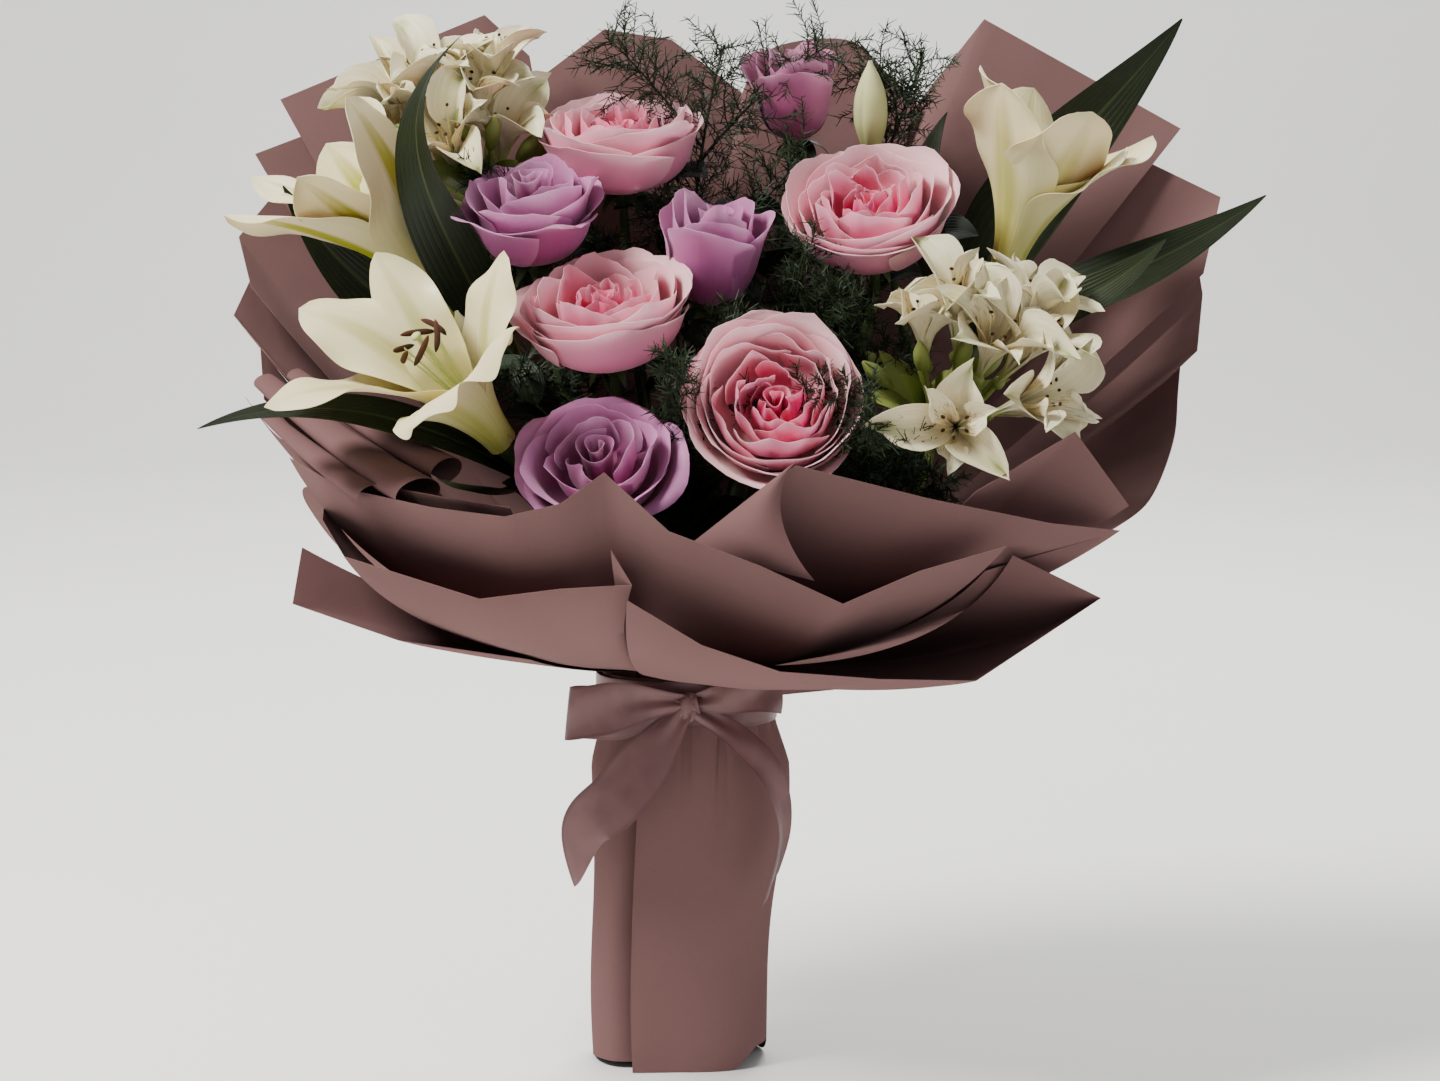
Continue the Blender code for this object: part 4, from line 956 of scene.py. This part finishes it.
# name: azimuth of its stalk in the tie, its centre line's other control points, its side
# branches, each as where it leaves and its last two control points, its reach and its seed
FERNS = {
    "fern_top": (
        90, ((-2, 28, 340), (6, 36, 430), (22, 28, 486)),
        ((0.62, (4, 26, 410), (-6, 4, 402)), (0.50, (40, 14, 410), (60, 4, 436)),
         (0.75, (-10, 34, 466), (-32, 30, 488)), (0.72, (38, 34, 466), (72, 28, 486))),
        32, 3),
    "fern_top_right": (
        60, ((60, 50, 320), (96, 60, 420), (118, 50, 480)),
        ((0.60, (70, 40, 390), (66, 14, 410)), (0.45, (60, 20, 352), (92, 4, 366)),
         (0.80, (110, 44, 462), (92, 30, 474))),
        30, 5),
    "fern_right": (
        0, ((40, -4, 300), (52, -26, 350), (60, -58, 396)),
        ((0.70, (70, -44, 358), (76, -64, 374)), (0.50, (50, -30, 336), (20, -46, 352)),
         (0.45, (84, -30, 340), (112, -44, 346))),
        22, 7),
    "fern_left": (
        120, ((-30, 36, 300), (-56, 20, 380), (-92, -6, 428)),
        ((0.50, (-36, 10, 360), (-34, -8, 398)), (0.70, (-84, 24, 386), (-82, 12, 412)),
         (0.40, (-60, -14, 326), (-74, -52, 336))),
        20, 11),
    "fern_front": (
        270, ((-4, -50, 260), (6, -84, 310), (0, -116, 350)),
        ((0.60, (10, -66, 340), (30, -64, 366)), (0.40, (-20, -60, 304), (-46, -80, 318)),
         (0.60, (58, -84, 344), (86, -112, 332))),
        18, 13),
    "fern_front_right": (
        300, ((28, -28, 256), (92, -84, 270), (108, -112, 316)),
        ((0.60, (100, -70, 282), (124, -92, 292)), (0.70, (82, -104, 290), (86, -122, 322))), 18,
        19),
}
FERN_RING_MM = 16.5
FERN_STALK_MM = 1.3
STALK_TWIGS = 56
BRANCH_TWIGS = 38
NEEDLES = 22


def turned(ahead, angle):
    """Unit vectors square to the headings in ahead, turned round them by the angles."""
    aside = unit(np.cross(ahead, (0.31, 0.17, 0.93)))
    other = np.cross(ahead, aside)
    angle = np.asarray(angle)[..., None]
    return aside * np.cos(angle) + other * np.sin(angle)


def arcs(start, heading, bend, length, turn, steps):
    """Curved lines that leave start in the heading and turn towards bend, by turn in radians."""
    s = np.linspace(0, 1, steps)[None, :, None]
    turn, length = turn[:, None, None], length[:, None, None]
    ahead = heading[:, None] * np.sin(turn * s) + bend[:, None] * (1 - np.cos(turn * s))
    return start[:, None] + ahead * length / turn


def add_plume(skin, line, first, twigs, reach, draw):
    """Curved twigs along a stalk, each with fine needles all round it."""
    t = first + (1 - first) * (np.arange(twigs) + draw.uniform(0.1, 0.9, twigs)) / twigs
    start = bezier(line, t)
    ahead = unit(bezier(line, t + 0.01) - start)
    around = np.arange(twigs) * GOLDEN_ANGLE + draw.uniform(-0.4, 0.4, twigs)
    heading = unit(turned(ahead, around) + ahead * draw.uniform(0.2, 0.9, twigs)[:, None])
    length = reach * draw.uniform(0.6, 1.2, twigs) * (1.2 - 0.45 * t)
    bend = turned(heading, draw.uniform(0, math.tau, twigs))
    lines = arcs(start, heading, bend, length, draw.uniform(0.3, 1.6, twigs), 9)
    skin.rods(lines, np.linspace(0.36, 0.18, 9), 3, draw.uniform(-0.1, 0.3, twigs))
    count = twigs * NEEDLES
    owner = np.repeat(np.arange(twigs), NEEDLES)
    at = 0.12 + 0.88 * np.tile((np.arange(NEEDLES) + 0.5) / NEEDLES, twigs)
    step = np.minimum((at * 8).astype(int), 7)
    share = (at * 8 - step)[:, None]
    before, after = lines[owner, step], lines[owner, step + 1]
    run = unit(after - before)
    spread = turned(run, np.arange(count) * GOLDEN_ANGLE + draw.uniform(-0.5, 0.5, count))
    heading = unit(spread + run * draw.uniform(0.4, 1.5, count)[:, None])
    bend = turned(heading, draw.uniform(0, math.tau, count))
    size = draw.uniform(4.5, 10.0, count) * (1.15 - 0.5 * at)
    foot = before * (1 - share) + after * share
    needles = arcs(foot, heading, bend, size, draw.uniform(0.2, 1.4, count), 2)
    skin.rods(needles, (0.34, 0.16), 3, draw.uniform(-0.2, 0.5, count))


def make_fern(name, azimuth, points, branches, reach, seed):
    draw = np.random.default_rng(seed)
    out = direction(azimuth, 0) * FERN_RING_MM
    high = WAIST_MM + UP * TIE_RISE_MM + out
    low = high - UP * (TIE_RISE_MM + TIE_DROP_MM)
    line = (high, *points)
    stalk = np.concatenate(([out * STEM_SPREAD], [low], curve(line, 30)))
    skin = Skin()
    skin.rods(stalk[None], np.linspace(FERN_STALK_MM, 0.5, len(stalk)), 8)
    add_plume(skin, line, 0.34, STALK_TWIGS, reach, draw)
    for share, middle, tip in branches:
        branch = (bezier(line, share), middle, tip)
        skin.rod(branch, 14, 0.8, 0.4)
        add_plume(skin, branch, 0.1, BRANCH_TWIGS, reach, draw)
    skin.piece(name + "_plume", FERN, "fern", name)


# Leafy twigs that fill the gaps between the heads: the tip of each, which its leaves surround
TWIG_TIPS = (
    (58, -24, 352), (-24, -46, 312), (-72, 12, 392), (104, -46, 294), (-64, -54, 322), (24, 6, 396),
    (-34, 0, 382), (62, 26, 424), (104, 4, 380), (6, -78, 284), (74, -78, 282), (-104, -28, 342),
    (-62, -86, 282), (20, -52, 344), (-6, 40, 432), (128, 24, 404), (140, -50, 300),
    (-120, 30, 372))
TWIG_LEAVES = 7
TWIG_SEED = 31


def make_twigs():
    draw = np.random.default_rng(TWIG_SEED)
    leaves, stalks = Skin(), Skin()
    for x, y, z in TWIG_TIPS:
        foot = np.array(WAIST_MM) + (x * 0.1, y * 0.1, 20)
        line = (foot, foot + (x * 0.15, y * 0.15, (z - foot[2]) * 0.6), (x, y, z))
        stalks.rod(line, 16, 1.3, 0.6)
        for k in range(TWIG_LEAVES):
            start = bezier(line, 0.62 + 0.38 * k / (TWIG_LEAVES - 1))
            out = direction(137.5 * k + draw.uniform(-20, 20), draw.uniform(0, 40))
            length = draw.uniform(24, 34)
            middle = start + out * length * 0.5 + (0, -2, 7)
            end = start + out * length + (0, -3, 0)
            face = (draw.uniform(230, 310), draw.uniform(30, 70))
            blade = leaf((start, middle, end), draw.uniform(7, 10), face, face)
            leaves.blade(blade, GRIDS["twig_leaf"], LEAF_MM, draw.uniform(-0.15, 0.1))
    leaves.piece("twig_leaves", TWIG_LEAF, "leaf")
    stalks.piece("twig_stalks", STEM, "stem")


# Paper

# name: rank from the innermost sheet outwards, azimuths of its foot in the tie, belly, sag as a
# share of its rise, whether its rim is smooth, and the rim's points from one side to the other
SHEETS = {
    "paper_back_right": (
        0, (118, 62), 10, 0, True,
        ((30, 88, 460), (44, 90, 483), (82, 94, 488), (102, 91, 472), (118, 88, 456))),
    "paper_back_left": (
        1, (138, 78), 10, 0, False,
        ((-69, 86, 469), (-37, 92, 493), (-4, 96, 488), (28, 98, 464), (50, 97, 448))),
    "paper_fan_left": (
        2, (172, 118), 12, 0, False, ((-195, 76, 459), (-96, 96, 500), (-74, 96, 480))),
    "paper_fan_right": (2, (72, 12), 8, 0, False, ((114, 95, 452), (150, 92, 498), (245, 72, 445))),
    "paper_side_left_high": (3, (178, 128), 20, 0, False, ((-206, 62, 433), (-130, 100, 462))),
    "paper_side_right_high": (
        3, (52, -4), 14, 0, False, ((190, 94, 448), (264, 64, 412), (254, 46, 376))),
    "paper_side_left": (
        4, (192, 150), 18, 0, False, ((-203, 14, 372), (-212, 42, 394), (-196, 74, 416))),
    "paper_side_right": (
        4, (30, -16), 18, 0, False,
        ((254, 76, 384), (254, 48, 366), (248, 18, 341), (232, 2, 329))),
    "paper_collar_flap": (
        4, (288, 322), 20, 0.15, False, ((133, -122, 291), (178, -108, 316), (204, -94, 281))),
    "paper_side_left_low": (
        5, (206, 164), 22, 0.04, False, ((-182, -16, 330), (-212, 18, 358), (-202, 46, 384))),
    "paper_side_right_low": (
        5, (24, -60), 28, 0.12, True,
        ((246, 56, 350), (240, 24, 322), (234, -8, 300), (219, -44, 277), (198, -80, 268))),
    "paper_collar_left": (
        6, (196, 252), 28, 0.18, True,
        ((-203, -14, 322), (-184, -42, 306), (-150, -78, 293), (-104, -116, 288),
         (-72, -138, 286))),
    "paper_collar_roll": (
        6, (262, 316), 38, 0.14, False,
        ((8, -146, 268), (53, -150, 306), (112, -140, 290), (167, -116, 276), (200, -96, 270),
         (138, -112, 254))),
    "paper_collar_peak": (
        7, (204, 302), 42, 0.2, False,
        ((-178, -54, 298), (-150, -86, 288), (-108, -122, 284), (-74, -146, 283), (-49, -156, 290),
         (-30, -159, 304), (-2, -164, 279), (37, -170, 265), (73, -168, 248), (107, -152, 260),
         (146, -132, 268))),
    "paper_collar_trough": (
        8, (196, 258), 42, 0.2, False,
        ((-164, -38, 276), (-162, -66, 271), (-148, -108, 260), (-85, -148, 247), (-49, -158, 253),
         (-18, -166, 256), (-27, -165, 271))),
    "paper_wing_left": (
        9, (184, 232), 12, 0.1, False,
        ((-174, -44, 255), (-177, -60, 231), (-126, -90, 219), (-66, -95, 211))),
    "paper_wing_right": (
        9, (252, 340), 34, 0.31, False,
        ((-20, -171, 250), (12, -174, 231), (46, -172, 219), (89, -162, 214), (133, -138, 209),
         (192, -94, 239), (150, -118, 262))),
}
# Linings that show only between the sheets
LININGS = {
    "paper_lining_right": (
        8, (280, 422), 16, 0.2, True,
        ((40, -136, 246), (92, -122, 240), (134, -94, 242), (160, -50, 232), (148, 0, 200),
         (104, 44, 176), (50, 72, 164))),
    "paper_lining_left": (
        8, (132, 214), 20, 0.1, True,
        ((-116, 70, 205), (-158, 40, 236), (-176, 2, 268), (-172, -34, 282), (-148, -66, 274))),
    "paper_fold_left": (
        5.5, (188, 222), 22, 0.06, False,
        ((-197, -2, 344), (-193, -24, 322), (-172, -48, 306), (-132, -84, 292))),
}
SHEET_FOOT_Z_MM = 162.0
SHEET_NECK_Z_MM = 198.0
SHEET_NECK_STEP_MM = 0.6
SHEET_FIRST_RADIUS_MM = 21.0
SHEET_STEP_MM = 1.3
SHEET_STRETCH = 1.15
SHEET_NECK_SHARE = 0.16
SHEET_COLUMNS = 34
SHEET_ROWS = 36
PLEATS = 3.5
# Rolled folds at the left end of the collar: where each starts and ends, and its radius there
ROLLED_FOLDS = (
    ((-193, -22, 330), (-116, -100, 287), 5.0, 10.0),
    ((-178, -30, 334), (-104, -86, 296), 4.0, 8.0), ((-190, -38, 316), (-136, -96, 286), 3.0, 7.0))
# The corner of the rolled collar that is turned outwards: its left corner, its top, the bend of
# its right edge, and its foot
TURNED_CORNER_MM = (
    (4, -150, 269), (53, -152, 308), (38, -160, 292), (50, -164, 270), (61, -161, 257))


def paper_piece(name, place, grid, *nodes):
    skin = Skin()
    skin.blade(place, grid, PAPER_MM)
    skin.piece(name, PAPER, "paper", *nodes)


def paper_sheet(rank, azimuths, belly, sag, smooth, rim):
    """One sheet of paper: gathered upright in the tie, then flaring to its rim, with soft pleats
    that fade on the way out."""
    radius = SHEET_FIRST_RADIUS_MM + SHEET_STEP_MM * rank
    neck_z = SHEET_NECK_Z_MM - SHEET_NECK_STEP_MM * rank
    waist_x, waist_y, _ = WAIST_MM

    def place(u, v):
        side = (u + 1) / 2
        azimuth = np.radians(azimuths[0] + (azimuths[1] - azimuths[0]) * side)
        out = polar(1, azimuth, np.zeros_like(azimuth))
        neck = out * radius * np.array((SHEET_STRETCH, 1, 0)) + np.array((waist_x, waist_y, neck_z))
        t = np.clip((v - SHEET_NECK_SHARE) / (1 - SHEET_NECK_SHARE), 0, 1)
        edge = smooth_line(rim, side)
        if not smooth:
            crisp = (t * t)[..., None]
            edge = edge * (1 - crisp) + straight_line(rim, side) * crisp
        middle = neck * 0.5 + edge * 0.5 + out * belly
        middle[..., 2] -= sag * (edge[..., 2] - neck_z)
        below = np.clip(1 - v / SHEET_NECK_SHARE, 0, 1)
        pleat = np.sin(side * math.tau * PLEATS + rank * 1.7)
        lift = (pleat * np.sin(math.pi * np.minimum(t * 1.6, 1)) * 0.9 * (1 - t))[..., None]
        t = t[..., None]
        point = neck * (1 - t) ** 2 + 2 * middle * t * (1 - t) + edge * t * t
        point[..., 2] -= (neck_z - SHEET_FOOT_Z_MM) * below
        return point + out * lift * 0.6 + UP * 0.5 * lift

    return place


def make_sheet(name, *values):
    rim = values[-1]
    folds = len(rim) - 1
    columns = folds * math.ceil(SHEET_COLUMNS / folds)
    nodes = [name] if name in SHEETS else []
    paper_piece(name + "_sheet", paper_sheet(*values), (columns, SHEET_ROWS), *nodes)


def rolled_fold(start, end, thin, thick):
    """A paper end that was rolled in and stands open at its wide end."""
    start, end = np.array(start, float), np.array(end, float)
    ahead = unit(end - start)
    side = unit(np.cross(ahead, UP))
    up = np.cross(side, ahead)

    def place(u, v):
        angle = math.radians(100) + u * math.radians(150)
        radius = (thin + (thick - thin) * v) * (1 + 0.12 * u)
        centre = start + (end - start) * v[..., None] - UP * 9.0 * (v * (1 - v))[..., None]
        return (centre + side * (radius * np.cos(angle) * 1.3)[..., None]
                + up * (radius * np.sin(angle) * 0.8)[..., None])

    return place


def turned_corner(u, v):
    left, top, *bend = TURNED_CORNER_MM
    share = (u[..., None] + 1) / 2
    near, far = bezier((top, left), v), bezier((top, *bend), v)
    bulge = np.sin(math.pi * share) * np.sin(math.pi * v[..., None] * 0.8)
    return near * (1 - share) + far * share + np.array((-2.0, -6.0, 2.0)) * bulge


# Handle wrap

# Height, half width and half depth of the wrapped handle, from its foot up
HANDLE_SECTIONS = ((0, 43, 31), (70, 45, 33), (146, 47, 36), (167, 42, 35), (191, 42, 35))
# The azimuth of its outer edge, and how far it turns from there to its inner edge
HANDLE_EDGE = 236
HANDLE_TURN = 432
HANDLE_TOP_MM = 191
HANDLE_LAP_MM = 1.6
HANDLE_SQUARENESS = 2.6
# Creases below the ribbon: how far round the wrap, its half width in degrees, its depth in mm,
# and how far down it reaches in mm
HANDLE_CREASES = (
    (34, 4, 2.6, 118), (46, 3, 1.6, 140), (62, 3, 4.2, 108), (76, 5, 2.4, 134), (92, 5, 5.0, 138),
    (106, 4, 3.6, 128), (14, 4, 2.2, 130), (140, 8, 2.4, 110), (180, 8, 2.6, 126),
    (220, 7, 2.4, 118), (262, 8, 2.6, 112), (300, 7, 2.2, 122), (330, 6, 1.8, 130))


def handle_point(turn, z, out=0.0):
    """A point of the wrap, turn degrees from its outer edge on the front."""
    heights, widths, depths = np.array(HANDLE_SECTIONS, float).T
    a, b = np.interp(z, heights, widths), np.interp(z, heights, depths)
    azimuth = np.radians(HANDLE_EDGE + turn)
    c, s = np.cos(azimuth), np.sin(azimuth)
    round_share = np.abs(c / a) ** HANDLE_SQUARENESS + np.abs(s / b) ** HANDLE_SQUARENESS
    r = round_share ** (-1 / HANDLE_SQUARENESS) + out - HANDLE_LAP_MM * turn / 360
    x = WAIST_MM[0] * smoothstep(z / WAIST_MM[2])
    return np.stack((x + r * c, r * s, z + 0 * r), axis=-1)


def handle_wrap(u, v):
    """The wrap of the handle: its outer edge stands a little open on the front, its foot is cut
    unevenly, and the ribbon gathers it into creases."""
    turn = (u + 1) / 2 * HANDLE_TURN
    outer = 1 - smoothstep((turn - 330) / 40)
    foot = 10 * smoothstep((turn - 76) / 24) * (1 - smoothstep((turn - 112) / 30))
    foot = foot + 3 * smoothstep((turn - 290) / 40)
    z = foot + (HANDLE_TOP_MM - foot) * v
    dip = sum(deep * hump(turn - at, wide * (0.6 + (HANDLE_TOP_MM - z) / 90))
              * smoothstep((z - low) / 50) for at, wide, deep, low in HANDLE_CREASES)
    open_edge = 4.0 * np.exp(-turn / 12) * smoothstep((150 - z) / 80)
    recess = 7.0 * hump(turn - 358, 12) * smoothstep((168 - z) / 60)
    bulge = 4.0 * hump(turn - 112, 34) * hump(z - 128, 34)
    soft = 0.7 * np.sin(z / 31 + turn / 40) + 0.4 * np.sin(z / 17 - turn / 23)
    return handle_point(turn, z, open_edge + bulge - recess + (soft - dip - 0.6) * outer)


# Ribbon

RIBBON_MIDDLE_MM = 179.0
RIBBON_WIDTH_MM = 22.0
RIBBON_OFF_MM = 1.2
# The flat lengths of the band, the left loop and the knot, and the flat widths of the last two
BAND_LENGTH_MM = 258
LOOP_FLAT_MM = (128, 21)
KNOT_FLAT_MM = (64, 10.5)
# The middle of the knot, and the tilt and radius of each turn round it
KNOT_MM = (6, -40.5, 179)
KNOT_TURNS = ((12, 5.2), (-20, 4.6), (38, 4.2))
# Each strip: its centre line, the heading of its face at its start and end, its half widths at
# the start, middle and end, and how far its end is cut on the slant, as a share of its length
RIBBON_STRIPS = {
    "ribbon_loop_right": (
        ((7, -41, 181), (24, -44, 184), (40, -39, 185), (49, -30, 184)), (0, -1, 0.2),
        (0.7, -1, 0.1), (4, 8, 10), 0),
    "ribbon_tail_left": (
        ((4, -42, 179), (-10, -47, 160), (-28, -51, 138), (-42, -50, 122), (-38, -46, 94)),
        (0, -1, 0), (-0.5, -1, 0), (4.5, 13.5, 12), 0.24),
    "ribbon_tail_right": (
        ((8, -42, 178), (28, -46, 166), (44, -47, 148), (50, -44, 120), (41, -42, 84)),
        (0, -1, 0.3), (1.6, -0.7, 0.2), (4.5, 7.0, 4.5), 0.12),
}
# The left loop: a flattened ring of ribbon that stands on its edge, and its half width halfway
RIBBON_LOOP = (
    (5, -41, 181), (-14, -50, 182), (-34, -57, 181), (-47, -57, 179), (-51, -52, 178),
    (-45, -48, 178), (-28, -46, 177), (-10, -43, 178), (4, -41, 178))
RIBBON_LOOP_HALF_MM = 12.5
RIBBON_PINCH_HALF_MM = 4


def ribbon_piece(skin, name, length, width, held, *nodes):
    """Makes a piece of the ribbon. Its flat length and width in mm, and how it is held, are not
    used.
    """
    piece = skin.piece(name, RIBBON, "ribbon", *nodes)
    width / 1000


def ribbon_band(u, v):
    off = RIBBON_OFF_MM + HANDLE_LAP_MM * v
    gather = 0.5 * np.sin(u * 4 + 1) * hump(360 * v - 34, 30)
    return handle_point(360 * v, RIBBON_MIDDLE_MM + u * RIBBON_WIDTH_MM / 2, off + gather)


def ribbon_loop(u, v):
    widening = smoothstep(4 * np.minimum(v, 1 - v))
    width = RIBBON_PINCH_HALF_MM + (RIBBON_LOOP_HALF_MM - RIBBON_PINCH_HALF_MM) * widening
    gather = np.exp(-np.minimum(v, 1 - v) * 9) * np.sin(u * 6)
    centre = smooth_line(RIBBON_LOOP, v)
    centre[..., 1] += 1.2 * gather + 0.7 * np.sin(3 * u + 9 * v)
    return centre + np.array((0.10, 0.04, 1.0)) * (u * width)[..., None]


def ribbon_strip(points, facing_start, facing_end, half_widths, slant):
    start, middle, end = half_widths

    def place(u, v):
        v = v * (1 - slant * (1 - u) / 2)
        before, after = np.maximum(v - 0.02, 0), np.minimum(v + 0.02, 1)
        ahead = smooth_line(points, after) - smooth_line(points, before)
        share = v[..., None]
        facing = np.array(facing_start) * (1 - share) + np.array(facing_end) * share
        side = unit(np.cross(ahead, facing))
        normal = unit(np.cross(side, ahead))
        width = start + (middle - start) * smoothstep(2.5 * v)
        width = width + (end - middle) * smoothstep(2 * v - 1)
        pinch = (1 - smoothstep(3 * v)) * np.sin(u * 5) * 0.9
        pinch = pinch + 0.9 * np.sin(u * 2.4 + 7 * v) * smoothstep(2 * v)
        centre = smooth_line(points, v)
        return centre + side * (u * width)[..., None] + normal * pinch[..., None]

    return place


def knot_turn(k, tilt, size):
    """One turn of ribbon round the knot."""
    x, y, z = KNOT_MM
    c, s = math.cos(math.radians(tilt)), math.sin(math.radians(tilt))

    def place(u, v):
        angle = math.tau * v
        r = size + 0.7 * np.sin(4 * u + k + angle) + 0.5 * np.sin(3 * angle + 2 * k)
        across, up = u * (4.2 - 0.7 * k), r * np.sin(angle) * 1.25
        out = y + r * np.cos(angle) * 0.72 + 0.4
        return np.stack((x + across * c - up * s, out, z + across * s + up * c), axis=-1)

    return place


def make_ribbon():
    band, loop, knot = Skin(), Skin(), Skin()
    band.blade(ribbon_band, GRIDS["band"], RIBBON_MM)
    ribbon_piece(band, "ribbon_band", BAND_LENGTH_MM, RIBBON_WIDTH_MM, "stretched", "ribbon")
    loop.blade(ribbon_loop, GRIDS["loop"], RIBBON_MM)
    ribbon_piece(loop, "ribbon_loop_left", *LOOP_FLAT_MM, "folded")
    for name, strip in RIBBON_STRIPS.items():
        points, _, _, half_widths, _ = strip
        skin = Skin()
        skin.blade(ribbon_strip(*strip), GRIDS["strip"], RIBBON_MM)
        length = np.linalg.norm(np.diff(np.array(points, float), axis=0), axis=1).sum()
        ribbon_piece(skin, name, length, sum(half_widths) * 2 / 3, "folded")
    for k, (tilt, size) in enumerate(KNOT_TURNS):
        knot.blade(knot_turn(k, tilt, size), GRIDS["knot"], RIBBON_MM)
    ribbon_piece(knot, "ribbon_knot", *KNOT_FLAT_MM, "folded")


# The tied twine under the paper: its radius, and how far under the waist its turns start
TWINE_RADIUS_MM = 19.2
TWINE_DROP_MM = 5.2
TWINE_STEP_MM = 1.2


def make_twine():
    skin = Skin()
    x, y, z = WAIST_MM
    turn = np.linspace(0, math.tau, 60)
    for k in range(3):
        height = z - TWINE_DROP_MM + TWINE_STEP_MM * k + 0 * turn
        line = np.stack((x + TWINE_RADIUS_MM * np.cos(turn), y + TWINE_RADIUS_MM * np.sin(turn),
                         height), axis=-1)
        skin.rods(line[None], TWINE_STEP_MM / 2, 8)
    skin.piece("twine_ring", TWINE, "twine", "stem_tie")


# Stage, in metres

FLOOR_FRONT = -6.0
FLOOR_BACK = 2.5
FLOOR_HALF_WIDTH = 7.0
FLOOR_DROP = 0.0003
SWEEP_RADIUS = 0.9
WALL_TOP = 5.0
WORLD_COLOUR = (0.95, 0.97, 1.0, 1.0)
WORLD_STRENGTH = 0.34
MIDDLE = (0, 0, 0.3)
# name: place, target, size, power and colour
LIGHTS = {
    "window_light": ((-1.35, -0.75, 2.15), MIDDLE, 0.9, 118, (1.0, 0.98, 0.95)),
    "fill_light": ((1.9, -1.5, 1.0), MIDDLE, 1.8, 8, (0.95, 0.97, 1.0)),
    "back_light": ((0.5, 1.5, 1.9), MIDDLE, 1.2, 34, (1.0, 1.0, 1.0)),
    "backdrop_light": ((0, 1.6, 2.6), (0, 3.0, 0.3), 1.8, 46, (1.0, 1.0, 1.0)),
}
CAMERA_PLACE = (0.020, -1.73297, 0.49555)
CAMERA_TILT = 82
CAMERA_SENSOR_MM = 36.0
CAMERA_LENS_MM = 91.875


def make_stage():
    """A pale floor that sweeps up far behind the bouquet."""
    run = [(FLOOR_FRONT, 0.0), (FLOOR_BACK, 0.0)]
    for a in np.linspace(0.1, math.pi / 2, 16):
        run.append((FLOOR_BACK + SWEEP_RADIUS * math.sin(a), SWEEP_RADIUS * (1 - math.cos(a))))
    run.append((FLOOR_BACK + SWEEP_RADIUS, WALL_TOP))
    points = [(x, y, z - FLOOR_DROP) for y, z in run for x in (-FLOOR_HALF_WIDTH, FLOOR_HALF_WIDTH)]
    faces = [(2 * i, 2 * i + 1, 2 * i + 3, 2 * i + 2) for i in range(len(run) - 1)]
    mesh = bpy.data.meshes.new("floor")
    mesh.from_pydata(points, [], faces)
    mesh.shade_smooth()
    finish = Finish("pale_floor", Roughness=0.7, Specular_IOR_Level=0.2)
    colour = finish.mix(finish.spots(3.0), (240, 239, 236), (245, 244, 241))
    finish.feed("Base Color", colour)
    mesh.materials.append(finish.material)
    new_object("floor", mesh)


def make_light(name, place, target, size, power, colour):
    light = bpy.data.lights.new(name, "AREA")
    light.shape = "DISK"
    light.size = size
    light.energy = power
    light.color = colour
    obj = new_object(name, light)
    obj.location = place
    obj.rotation_euler = (Vector(target) - Vector(place)).to_track_quat("-Z", "Y").to_euler()


def make_world():
    world = bpy.data.worlds.new("studio")
    world.use_nodes = True
    background = world.node_tree.nodes["Background"]
    background.inputs["Color"].default_value = WORLD_COLOUR
    background.inputs["Strength"].default_value = WORLD_STRENGTH
    bpy.context.scene.world = world


def make_camera():
    lens = bpy.data.cameras.new("photo_view")
    lens.sensor_width = CAMERA_SENSOR_MM
    lens.lens = CAMERA_LENS_MM
    camera = new_object("photo_view", lens)
    camera.location = CAMERA_PLACE
    camera.rotation_euler = (math.radians(CAMERA_TILT), 0, 0)
    bpy.context.scene.camera = camera


def make_all(make, table):
    for name, values in table.items():
        make(name, *values)


make_all(make_rose, ROSES)
make_all(make_lily, LILIES)
make_all(make_bud, {name: values[:-1] for name, values in BUDS.items()})
make_all(make_alstroemeria, ALSTROEMERIA)
make_all(make_fern, FERNS)
make_twigs()
make_all(make_sheet, SHEETS | LININGS)
paper_piece("paper_collar_turned_corner", turned_corner, GRIDS["corner"])
for i, fold in enumerate(ROLLED_FOLDS):
    paper_piece(f"paper_fold_left_roll_{i + 1}", rolled_fold(*fold), GRIDS["rolled_fold"])
paper_piece("handle_wrap_sheet", handle_wrap, GRIDS["handle"], "paper_handle_wrap")
make_ribbon()
make_twine()
make_stage()
make_world()
make_all(make_light, LIGHTS)
make_camera()
